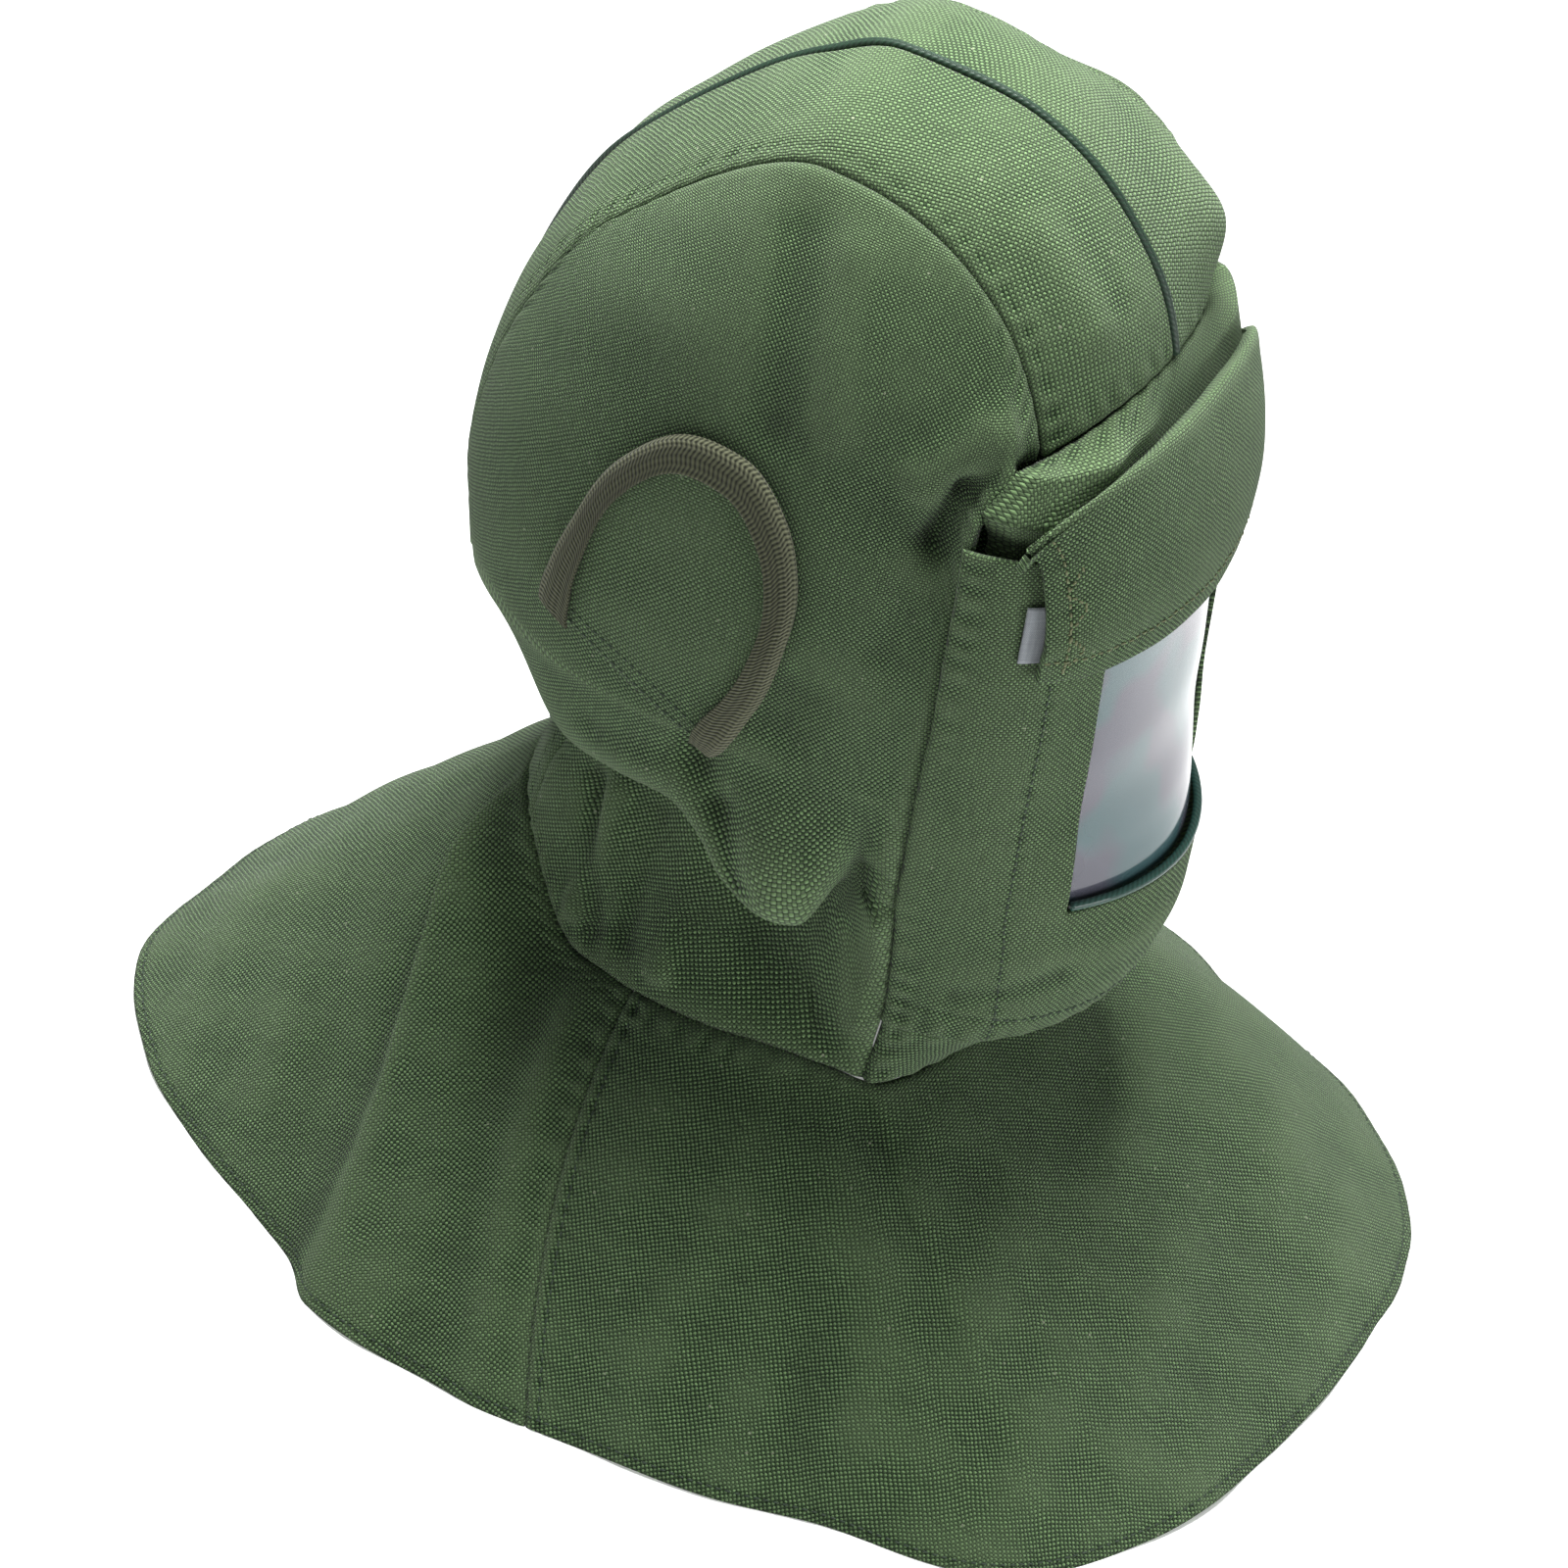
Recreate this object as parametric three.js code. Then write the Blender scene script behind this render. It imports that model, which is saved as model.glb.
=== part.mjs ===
// Sandblasting hood: canvas head cover with a clear window, a brow flap and a shoulder cape.
// Millimetres, +Z up, face towards -Y, wearer's right is -X.
// Heights in the tables are measured up from the hem. The last step moves the origin
// to the inside of the crown's top, the point that rests on the head.
import * as THREE from 'three';

// Named sizes
const HOOD_HEIGHT = 455;
const HEAD_HALF_WIDTH = 96;
const HEAD_DEPTH = 236;
const HEAD_AXIS_Y = 12;
const CLOTH = 1.8;
const FLAP_WALL = 2.8;
const PANE_WALL = 1.0;
const TAPE_WALL = 1.2;
const LABEL_WALL = 0.8;
const SEAM_GAP = 0.3;
const PIPING_RADIUS = 1.5;
const RIM_RADIUS = 1.6;
const CAPE_HALF_WIDTH = 200;
const WINDOW_HALF_WIDTH = 50;
const TAPE_WIDTH = 10;

// The tables are drawn on a hood 455 high, 96 half wide and 236 deep, with a cape 200 half wide.
// These ratios stretch them to the named sizes
const UP = HOOD_HEIGHT / 455;
const WIDE = HEAD_HALF_WIDTH / 96;
const DEEP = HEAD_DEPTH / 236;
const REACH = CAPE_HALF_WIDTH / 200;
const AXIS = HEAD_AXIS_Y * DEEP;
const sized = (p) => new THREE.Vector3(p.x * WIDE, p.y * DEEP, p.z * UP);

// Head cover, one row per level: height, front and back reach from the axis, half width, squareness
const HEAD = [
  { z: 455, front: 0, back: 0, half: 0, power: 2.0 },
  { z: 452, front: 38, back: 12, half: 31, power: 2.05 },
  { z: 446, front: 55, back: 22, half: 47, power: 2.1 },
  { z: 436, front: 71, back: 37, half: 58, power: 2.15 },
  { z: 420, front: 86, back: 55, half: 69, power: 2.2 },
  { z: 400, front: 99, back: 74, half: 78.5, power: 2.2 },
  { z: 375, front: 107, back: 94, half: 86.5, power: 2.25 },
  { z: 345, front: 111, back: 108, half: 91, power: 2.3 },
  { z: 310, front: 113, back: 118, half: 95, power: 2.35 },
  { z: 275, front: 113, back: 122, half: 96, power: 2.35 },
  { z: 232, front: 111, back: 118, half: 92, power: 2.25 },
];

// Crown seams, one row per station from brow to nape: how far round the top it lies, seen from
// the middle of the head, and where the two side seams and the piping run across
const CROWN = [
  { row: 0, lift: 36, right: -58, mid: 0, left: 58 },
  { row: 5, lift: 62, right: -57, mid: -3, left: 52 },
  { row: 10, lift: 88, right: -57, mid: -5, left: 48 },
  { row: 15, lift: 113, right: -55, mid: -6, left: 46 },
  { row: 20, lift: 139, right: -52, mid: -5, left: 46 },
  { row: 25, lift: 177, right: -48, mid: -3, left: 46 },
  { row: 29, lift: 208, right: -46, mid: -2, left: 44 },
];
const CROWN_CENTRE_Z = 300;
const TOP_ROWS = 20;
const BELLY_ROW = 9;
const NAPE = { right: 152, mid: 179, left: 152 };

// Below the widest level, one row per direction round the neck: the belly's lower edge, the
// tuck under it, the neck and the neck seam. r is distance from the axis, z the height
const LOWER = [
  { deg: 42, edge: 97, edgeZ: 147, tuck: 96, tuckZ: 131, neck: 95, neckZ: 116, ring: 96, ringZ: 99 },
  { deg: 47, edge: 97, edgeZ: 160, tuck: 90, tuckZ: 140, neck: 87, neckZ: 118, ring: 91, ringZ: 101 },
  { deg: 53, edge: 88, edgeZ: 186, tuck: 76, tuckZ: 164, neck: 74, neckZ: 128, ring: 86, ringZ: 102 },
  { deg: 63, edge: 89, edgeZ: 166, tuck: 66, tuckZ: 158, neck: 66, neckZ: 128, ring: 80, ringZ: 103 },
  { deg: 78, edge: 82, edgeZ: 172, tuck: 58, tuckZ: 168, neck: 62, neckZ: 132, ring: 75, ringZ: 102 },
  { deg: 96, edge: 77, edgeZ: 194, tuck: 56, tuckZ: 182, neck: 61, neckZ: 134, ring: 71, ringZ: 100 },
  { deg: 112, edge: 77, edgeZ: 190, tuck: 56, tuckZ: 176, neck: 62, neckZ: 134, ring: 70, ringZ: 98 },
  { deg: 130, edge: 80, edgeZ: 186, tuck: 62, tuckZ: 170, neck: 67, neckZ: 136, ring: 74, ringZ: 99 },
  { deg: 150, edge: 81, edgeZ: 188, tuck: 73, tuckZ: 167, neck: 79, neckZ: 148, ring: 83, ringZ: 125 },
  { deg: 180, edge: 87, edgeZ: 186, tuck: 80, tuckZ: 167, neck: 83, neckZ: 151, ring: 89, ringZ: 131 },
];

// Front panel, one row per level: side seam across and along, and how far the middle stands forward
const FRONT = [
  { z: 382, across: 58, along: -80, middle: -94, round: 2.2 },
  { z: 366, across: 72, along: -74, middle: -99, round: 2.2 },
  { z: 350, across: 81, along: -68, middle: -105, round: 2.2 },
  { z: 338, across: 84, along: -66, middle: -111, round: 2.2 },
  { z: 322, across: 84, along: -66, middle: -114, round: 2.2 },
  { z: 306, across: 84, along: -66, middle: -115, round: 2.2 },
  { z: 290, across: 84, along: -66, middle: -116, round: 2.2 },
  { z: 270, across: 83, along: -66, middle: -117, round: 2.2 },
  { z: 250, across: 82, along: -65, middle: -119, round: 2.15 },
  { z: 228, across: 80, along: -64, middle: -121.5, round: 2.05 },
  { z: 207, across: 77, along: -63, middle: -127, round: 1.95 },
  { z: 188, across: 74, along: -62, middle: -131, round: 1.9 },
  { z: 168, across: 70, along: -62, middle: -131, round: 1.9 },
  { z: 150, across: 67, along: -62, middle: -127, round: 1.95 },
  { z: 136, across: 65, along: -62, middle: -122, round: 2 },
  { z: 127, across: 64, along: -61, middle: -115, round: 2 },
  { z: 118, across: 63, along: -60, middle: -100, round: 2 },
  { z: 108, across: 64, along: -59, middle: -88, round: 2 },
  { z: 99, across: 65, along: -58, middle: -79, round: 2 },
];
const PANEL_TOP_ROW = 3;
const WINDOW_TOP_ROW = 6;
const WINDOW_BOTTOM_ROW = 11;
const CHIN_ROW = 15;
const LAST_ROW = FRONT.length - 1;

// Hem of the cape, one row per direction on the table plane: ring direction, reach, and how far
// the cape stands above a straight line from the neck seam to the hem
const HEM = [
  { ring: -180, deg: -180, reach: 209, rise: 1 },
  { ring: -150, deg: -152, reach: 204, rise: 2 },
  { ring: -128, deg: -125, reach: 187, rise: 4 },
  { ring: -105, deg: -92, reach: 192, rise: 6 },
  { ring: -80, deg: -72, reach: 206, rise: 6 },
  { ring: -60, deg: -54, reach: 216, rise: 8 },
  { ring: -40, deg: -38, reach: 231, rise: 10 },
  { ring: -20, deg: -20, reach: 244, rise: 9 },
  { ring: 0, deg: -3, reach: 237, rise: 6 },
  { ring: 18, deg: 12, reach: 234, rise: 6 },
  { ring: 32, deg: 27, reach: 240, rise: 6 },
  { ring: 46, deg: 40, reach: 238, rise: 6 },
  { ring: 62, deg: 55, reach: 208, rise: 6 },
  { ring: 80, deg: 70, reach: 188, rise: 6 },
  { ring: 105, deg: 87, reach: 179, rise: 6 },
  { ring: 128, deg: 110, reach: 174, rise: 6 },
  { ring: 142, deg: 131, reach: 179, rise: 4 },
  { ring: 158, deg: 154, reach: 201, rise: 2 },
  { ring: 170, deg: 170, reach: 215, rise: 1 },
  { ring: 180, deg: 180, reach: 209, rise: 1 },
];

// Folds of the cape, one row per fold: where its ridge leaves the neck seam and where it meets
// the hem, both as ring directions, its width towards the front and the back, and its height there
const CAPE_FOLDS = [
  { ring: 166, hem: 131, front: 14, back: 5, first: 9, last: 10 },
  { ring: 118, hem: 110, front: 5, back: 6, first: 4, last: 2 },
  { ring: 60, hem: 60, front: 10, back: 10, first: 0, last: -6 },
  { ring: -60, hem: -60, front: 10, back: 10, first: 0, last: -6 },
  { ring: -128, hem: -128, front: 9, back: 9, first: 0, last: 8 },
  { ring: -143, hem: -143, front: 9, back: 9, first: 0, last: -10 },
];

// Brow flap, one row per line down its section: height, forward reach, half width at its side,
// and how far round it runs to each end
const FLAP = [
  { q: 0, z: 363, middle: -103.5, across: 83, along: -75, span: 78 },
  { q: 0.15, z: 367, middle: -108, across: 86, along: -74, span: 74 },
  { q: 0.35, z: 358, middle: -113, across: 87, along: -70, span: 66 },
  { q: 0.6, z: 336, middle: -119.5, across: 88, along: -68, span: 62 },
  { q: 0.85, z: 310, middle: -123, across: 88, along: -67, span: 61 },
  { q: 1, z: 294, middle: -122, across: 87, along: -66, span: 61 },
];
const FLAP_ROUND = 2.2;
const FLAP_END_DROP = { right: 26, left: 40 };

// Ear flap: middle of its base on the side, and its outline, one row per direction round it
const EAR = { deg: 103, z: 244, side: 1.66 };
const EAR_ARCH = [
  { turn: -27, reach: 33 },
  { turn: -8, reach: 34 },
  { turn: 14, reach: 40 },
  { turn: 40, reach: 60 },
  { turn: 53, reach: 78 },
  { turn: 64, reach: 92 },
  { turn: 77, reach: 101 },
  { turn: 89, reach: 98 },
  { turn: 101, reach: 82 },
  { turn: 115, reach: 60 },
  { turn: 131, reach: 46 },
  { turn: 153, reach: 37 },
];

// Folds of the head cover, one row per fold: the ends of its line, its width and its height
const FOLDS = [
  { x0: -80, y0: -56, z0: 334, x1: -75, y1: -61, z1: 352, wide: 7, high: -8 },
  { x0: -77, y0: -46, z0: 354, x1: -68, y1: -60, z1: 372, wide: 10, high: 4 },
  { x0: -90, y0: 10, z0: 226, x1: -82, y1: 0, z1: 190, wide: 8, high: -6 },
  { x0: -90, y0: -14, z0: 232, x1: -84, y1: -20, z1: 176, wide: 12, high: 3 },
  { x0: 50, y0: -78, z0: 392, x1: 67, y1: -66, z1: 377, wide: 15, high: 8 },
  { x0: 46, y0: 8, z0: 442, x1: 48, y1: -14, z1: 440, wide: 20, high: -3 },
  { x0: 40, y0: -76, z0: 406, x1: 58, y1: -44, z1: 416, wide: 22, high: 8 },
  { x0: -60, y0: 22, z0: 160, x1: -66, y1: 20, z1: 112, wide: 6, high: 5 },
  { x0: -56, y0: 36, z0: 160, x1: -62, y1: 38, z1: 112, wide: 6, high: -5 },
  { x0: -48, y0: 52, z0: 160, x1: -54, y1: 56, z1: 112, wide: 6, high: 5 },
  { x0: 60, y0: 22, z0: 160, x1: 66, y1: 20, z1: 112, wide: 6, high: 5 },
  { x0: 56, y0: 36, z0: 160, x1: 62, y1: 38, z1: 112, wide: 6, high: -5 },
];

// Helpers
const RAD = Math.PI / 180;
const smooth = (t) => t * t * (3 - 2 * t);
const mix = (a, b, t) => a + (b - a) * t;

// Smooth curve through one column of a table, without overshoot
function along(table, key, column, at) {
  const last = table.length - 1;
  let k = 0;
  while (k < last - 1 && at >= table[k + 1][key]) k += 1;
  const step = (i) => table[i + 1][key] - table[i][key];
  const rise = (i) => (table[i + 1][column] - table[i][column]) / step(i);
  const slope = (i) => {
    if (i === 0) return rise(0);
    if (i === last) return rise(last - 1);
    if (rise(i - 1) * rise(i) <= 0) return 0;
    return (rise(i - 1) * step(i) + rise(i) * step(i - 1)) / (step(i - 1) + step(i));
  };
  const h = step(k);
  const q = Math.min(1, Math.max(0, (at - table[k][key]) / h));
  return (1 + 2 * q) * (1 - q) ** 2 * table[k][column]
    + q * (1 - q) ** 2 * h * slope(k)
    + q * q * (3 - 2 * q) * table[k + 1][column]
    + q * q * (q - 1) * h * slope(k + 1);
}

// Point from a direction round the head's axis, a distance and a height
function around(angle, reach, z) {
  return new THREE.Vector3(-reach * Math.sin(angle), HEAD_AXIS_Y - reach * Math.cos(angle), z);
}

// Head cover
const HEAD_TOP = HEAD[0].z;
HEAD.forEach((row) => { row.fall = Math.sqrt(HEAD_TOP - row.z); });

function headSizes(angle, z) {
  const fall = Math.sqrt(Math.max(0, HEAD_TOP - z));
  const size = (column) => along(HEAD, 'fall', column, fall);
  return {
    half: Math.max(1e-6, size('half')),
    reach: Math.max(1e-6, Math.cos(angle) > 0 ? size('front') : size('back')),
    power: size('power'),
  };
}

function headReach(angle, z) {
  const { half, reach, power } = headSizes(angle, z);
  const sum = (Math.abs(Math.sin(angle)) / half) ** power + (Math.abs(Math.cos(angle)) / reach) ** power;
  return sum ** (-1 / power);
}

// Point of the crown: x across, lift round the top as seen from the middle of the head
function crownPoint(x, lift) {
  const at = (d) => new THREE.Vector3(
    x, HEAD_AXIS_Y - d * Math.cos(lift), CROWN_CENTRE_Z + d * Math.sin(lift));
  let low = 0;
  let high = 260;
  for (let i = 0; i < 44; i += 1) {
    const d = (low + high) / 2;
    const p = at(d);
    const angle = Math.atan2(-p.x, HEAD_AXIS_Y - p.y);
    const inside = p.z < HEAD_TOP && Math.hypot(p.x, p.y - HEAD_AXIS_Y) < headReach(angle, p.z);
    if (inside) low = d; else high = d;
  }
  return at(low);
}

// Lower part of the cover: v runs from 0.5 at the belly to 1 at the neck seam
const LOWER_ROWS = [9, 13.2, 14.6, 16.2, 18];

function lowerPoint(angle, v) {
  const deg = Math.abs(angle) / RAD;
  const size = (column) => along(LOWER, 'deg', column, deg);
  const belly = HEAD[HEAD.length - 1].z;
  const profile = [
    { row: LOWER_ROWS[0], r: headReach(angle, belly), z: belly },
    { row: LOWER_ROWS[1], r: size('edge'), z: size('edgeZ') },
    { row: LOWER_ROWS[2], r: size('tuck'), z: size('tuckZ') },
    { row: LOWER_ROWS[3], r: size('neck'), z: size('neckZ') },
    { row: LOWER_ROWS[4], r: size('ring'), z: size('ringZ') },
  ];
  const row = v * LAST_ROW;
  return around(angle, along(profile, 'row', 'r', row), along(profile, 'row', 'z', row));
}

// Folds move a point away from the head's axis or towards it, and the point takes its real size
function outward(p) {
  const middle = new THREE.Vector3(0, AXIS, Math.min(330 * UP, Math.max(p.z - 1e-3, 60 * UP)));
  return p.clone().sub(middle).normalize();
}

function dress(p) {
  let height = 0;
  FOLDS.forEach((f) => {
    const start = new THREE.Vector3(f.x0, f.y0, f.z0);
    const run = new THREE.Vector3(f.x1, f.y1, f.z1).sub(start);
    const t = Math.min(1, Math.max(0, p.clone().sub(start).dot(run) / run.lengthSq()));
    const away = p.distanceTo(start.addScaledVector(run, t)) / f.wide;
    height += f.high * Math.exp(-away * away);
  });
  const real = sized(p);
  return real.addScaledVector(outward(real), height);
}

// Sheets
const group = new THREE.Group();
group.name = 'sandblasting_hood';
const ORIGIN = new THREE.Vector3(0, AXIS, HOOD_HEIGHT - CLOTH - 0.1);

function addMesh(name, points, faces, colour, finish) {
  const keys = new Map();
  const index = [];
  const position = [];
  points.forEach((p, i) => {
    const q = p.clone().sub(ORIGIN);
    const key = q.toArray().map((c) => Math.round(c * 500)).join(',');
    if (!keys.has(key)) {
      keys.set(key, position.length / 3);
      position.push(q.x, q.y, q.z);
    }
    index[i] = keys.get(key);
  });
  const triangles = [];
  faces.forEach(([a, b, c]) => {
    const t = [index[a], index[b], index[c]];
    if (t[0] !== t[1] && t[1] !== t[2] && t[2] !== t[0]) triangles.push(...t);
  });
  const geometry = new THREE.BufferGeometry();
  geometry.setAttribute('position', new THREE.Float32BufferAttribute(position, 3));
  geometry.setIndex(triangles);
  geometry.computeVertexNormals();
  const material = new THREE.MeshStandardMaterial({ color: colour, ...finish });
  material.name = name;
  const mesh = new THREE.Mesh(geometry, material);
  mesh.name = name;
  group.add(mesh);
}

function gridNormal(grid, i, j) {
  const rows = grid.length - 1;
  const cols = grid[0].length - 1;
  const down = grid[Math.min(rows, i + 1)][j].clone().sub(grid[Math.max(0, i - 1)][j]);
  const over = grid[i][Math.min(cols, j + 1)].clone().sub(grid[i][Math.max(0, j - 1)]);
  return down.cross(over).normalize();
}

// A wall of cloth from a grid of outer points. Rows run down and columns run so that
// (down x over) points out. seams names the sides drawn back for the seam gap.
function sheet(name, outer, wall, look, options = {}) {
  const { seams = '', hole = () => false, away = outward } = options;
  const rows = outer.length - 1;
  const cols = outer[0].length - 1;
  const pull = (p, to) => p.clone().addScaledVector(to.clone().sub(p).normalize(), SEAM_GAP / 2 + 0.02);
  const grid = outer.map((line) => line.map((p) => p.clone()));
  for (let j = 0; j <= cols; j += 1) {
    if (seams.includes('t')) grid[0][j] = pull(grid[0][j], outer[1][j]);
    if (seams.includes('b')) grid[rows][j] = pull(grid[rows][j], outer[rows - 1][j]);
  }
  for (let i = 0; i <= rows; i += 1) {
    if (seams.includes('l')) grid[i][0] = pull(grid[i][0], outer[i][1]);
    if (seams.includes('r')) grid[i][cols] = pull(grid[i][cols], outer[i][cols - 1]);
  }
  const points = [];
  const id = (i, j, side) => ((i * (cols + 1)) + j) * 2 + side;
  for (let i = 0; i <= rows; i += 1) {
    for (let j = 0; j <= cols; j += 1) {
      const edge = (i === 0 && seams.includes('t')) || (i === rows && seams.includes('b'))
        || (j === 0 && seams.includes('l')) || (j === cols && seams.includes('r'));
      const normal = edge ? away(outer[i][j]) : gridNormal(outer, i, j);
      points.push(grid[i][j], grid[i][j].clone().addScaledVector(normal, -wall));
    }
  }
  const faces = [];
  const quad = (a, b, c, d) => faces.push([a, b, c], [a, c, d]);
  const kept = (i, j) => i >= 0 && j >= 0 && i < rows && j < cols && !hole(i, j);
  for (let i = 0; i < rows; i += 1) {
    for (let j = 0; j < cols; j += 1) {
      if (!kept(i, j)) continue;
      quad(id(i, j, 0), id(i + 1, j, 0), id(i + 1, j + 1, 0), id(i, j + 1, 0));
      quad(id(i, j, 1), id(i, j + 1, 1), id(i + 1, j + 1, 1), id(i + 1, j, 1));
      if (!kept(i - 1, j)) quad(id(i, j, 0), id(i, j + 1, 0), id(i, j + 1, 1), id(i, j, 1));
      if (!kept(i + 1, j)) quad(id(i + 1, j + 1, 0), id(i + 1, j, 0), id(i + 1, j, 1), id(i + 1, j + 1, 1));
      if (!kept(i, j - 1)) quad(id(i + 1, j, 0), id(i, j, 0), id(i, j, 1), id(i + 1, j, 1));
      if (!kept(i, j + 1)) quad(id(i, j + 1, 0), id(i + 1, j + 1, 0), id(i + 1, j + 1, 1), id(i, j + 1, 1));
    }
  }
  addMesh(name, points, faces, look.colour, look.finish);
}

// A round cord along a path
function cord(name, path, radius, sides, look) {
  const points = [];
  const faces = [];
  const last = path.length - 1;
  path.forEach((p, i) => {
    const run = path[Math.min(last, i + 1)].clone().sub(path[Math.max(0, i - 1)]).normalize();
    const up = outward(p).addScaledVector(run, -outward(p).dot(run)).normalize();
    const side = run.clone().cross(up);
    for (let k = 0; k < sides; k += 1) {
      const turn = (k / sides) * 2 * Math.PI;
      points.push(p.clone().addScaledVector(up, radius * Math.cos(turn))
        .addScaledVector(side, radius * Math.sin(turn)));
    }
  });
  for (let i = 0; i < last; i += 1) {
    for (let k = 0; k < sides; k += 1) {
      const a = i * sides + k;
      const b = i * sides + ((k + 1) % sides);
      faces.push([a, b, b + sides], [a, b + sides, a + sides]);
    }
  }
  for (let k = 1; k < sides - 1; k += 1) {
    faces.push([0, k + 1, k], [last * sides, last * sides + k, last * sides + k + 1]);
  }
  addMesh(name, points, faces, look.colour, look.finish);
}

const CANVAS = { colour: 0x4d6344, finish: { roughness: 0.95, side: THREE.FrontSide } };
const TAPE = { colour: 0x55593d, finish: { roughness: 0.9 } };
const CORD = { colour: 0x1f3a2c, finish: { roughness: 0.5 } };
const CLEAR = { colour: 0xb4c8cc, finish: { roughness: 0.05, transparent: true, opacity: 0.35 } };
const WHITE = { colour: 0x8a9194, finish: { roughness: 0.8 } };

// Crown seam stations: right and left side seams and the piping share these rows
const SEAM_ROWS = TOP_ROWS + LAST_ROW;
const BACK_TURN = TOP_ROWS + BELLY_ROW;

function crownStation(row, share, side) {
  const edge = side > 0 ? 'right' : 'left';
  const across = (at) => mix(along(CROWN, 'row', 'mid', at), along(CROWN, 'row', edge, at), share);
  if (row <= BACK_TURN) {
    return crownPoint(across(row), along(CROWN, 'row', 'lift', row) * RAD);
  }
  const low = (row - BACK_TURN) / (SEAM_ROWS - BACK_TURN);
  const belly = crownPoint(across(BACK_TURN), along(CROWN, 'row', 'lift', BACK_TURN) * RAD);
  const start = Math.atan2(-belly.x * side, HEAD_AXIS_Y - belly.y);
  const middle = side > 0 ? NAPE.mid : 360 - NAPE.mid;
  const end = mix(middle, NAPE[edge], share) * RAD;
  const angle = mix(start > 0 ? start : start + 2 * Math.PI, end, low);
  return lowerPoint(angle > Math.PI ? angle - 2 * Math.PI : angle, mix(0.5, 1, low))
    .multiply(new THREE.Vector3(side, 1, 1));
}

// Crown panels: the strip from brow to nape, in two halves with piping between them
const CROWN_COLS = 4;
const PIPING_ROOM = PIPING_RADIUS + SEAM_GAP;
for (const [name, side] of [['crown_panel_right', 1], ['crown_panel_left', -1]]) {
  const grid = [];
  for (let i = 0; i <= SEAM_ROWS; i += 1) {
    const line = [];
    for (let k = 0; k <= CROWN_COLS; k += 1) line.push(dress(crownStation(i, k / CROWN_COLS, side)));
    line[0].addScaledVector(line[1].clone().sub(line[0]).normalize(), PIPING_ROOM);
    grid.push(side > 0 ? line : line.reverse());
  }
  sheet(name, grid, CLOTH, CANVAS, { seams: side > 0 ? 'tbr' : 'tbl' });
}
const pipingPath = [];
for (let i = 0; i <= SEAM_ROWS; i += 1) pipingPath.push(dress(crownStation(i, 0, 1)));
pipingPath[SEAM_ROWS].z += 3 * PIPING_RADIUS;
pipingPath[0].y += PIPING_RADIUS;
cord('crown_piping', pipingPath, PIPING_RADIUS, 5, CORD);

// Front panel: columns count from the middle, the window's edge falls on WINDOW_COLS
const WINDOW_COLS = 7;
const PANEL_COLS = 12;
const HALF_WINDOW = WINDOW_HALF_WIDTH / WIDE;

function frontCurve(size, x) {
  const share = Math.min(1, Math.abs(x) / size.across);
  return size.along + (size.middle - size.along) * (1 - share ** size.round) ** (1 / size.round);
}

function frontPoint(row, col) {
  const size = FRONT[row];
  const step = Math.abs(col);
  const sign = Math.sign(col);
  const toWindow = Math.asin((HALF_WINDOW / size.across) ** (size.round / 2));
  if (step <= WINDOW_COLS) {
    const x = HALF_WINDOW * col / WINDOW_COLS;
    return new THREE.Vector3(x, frontCurve(size, x), size.z);
  }
  const turn = mix(toWindow, Math.PI / 2, (step - WINDOW_COLS) / (PANEL_COLS - WINDOW_COLS));
  const x = size.across * Math.sin(turn) ** (2 / size.round);
  const y = size.along + (size.middle - size.along) * Math.max(0, Math.cos(turn)) ** (2 / size.round);
  return new THREE.Vector3(sign * x, y, size.z);
}

function panelGrid(top, bottom) {
  const grid = [];
  for (let row = top; row <= bottom; row += 1) {
    const line = [];
    for (let col = -PANEL_COLS; col <= PANEL_COLS; col += 1) line.push(dress(frontPoint(row, col)));
    grid.push(line);
  }
  return grid;
}

sheet('front_panel', panelGrid(PANEL_TOP_ROW, CHIN_ROW), CLOTH, CANVAS, {
  seams: 'blr',
  hole: (i, j) => i >= WINDOW_TOP_ROW - PANEL_TOP_ROW && i < WINDOW_BOTTOM_ROW - PANEL_TOP_ROW
    && Math.abs(j + 0.5 - PANEL_COLS) < WINDOW_COLS,
});
sheet('chin_gusset', panelGrid(CHIN_ROW, LAST_ROW), CLOTH, CANVAS, { seams: 'tblr' });

// Brow band: joins the crown to the front and runs down behind the front panel
const BAND_HIDDEN = [
  { z: 338, across: 74, along: -69, middle: -103, round: 2.2 },
  { z: 326, across: 73, along: -69, middle: -103, round: 2.2 },
];
const browTop = [];
for (let k = CROWN_COLS; k >= 0; k -= 1) browTop.push(dress(crownStation(0, k / CROWN_COLS, 1)));
for (let k = 1; k <= CROWN_COLS; k += 1) browTop.push(dress(crownStation(0, k / CROWN_COLS, -1)));
const browSpan = browTop[browTop.length - 1].x - browTop[0].x;
const browRow = (size) => browTop.map((p) => {
  const x = size.across * (2 * (p.x - browTop[0].x) / browSpan - 1);
  return dress(new THREE.Vector3(x, frontCurve(size, x), size.z));
});
sheet('brow_band', [browTop, browRow(FRONT[1]), browRow(FRONT[2]), ...BAND_HIDDEN.map(browRow)],
  CLOTH, CANVAS, { seams: 'tlr' });

// Side panels: from the crown seam down over the belly and the tuck to the neck seam
const SIDE_COLS = TOP_ROWS;
const polar = (p) => ({
  angle: Math.atan2(Math.abs(p.x), HEAD_AXIS_Y - p.y),
  reach: Math.hypot(p.x, p.y - HEAD_AXIS_Y),
  z: p.z,
});

function sideReach(angle, z, v) {
  return v > 0.5 ? polar(lowerPoint(angle, v)).reach : headReach(angle, z);
}

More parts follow.
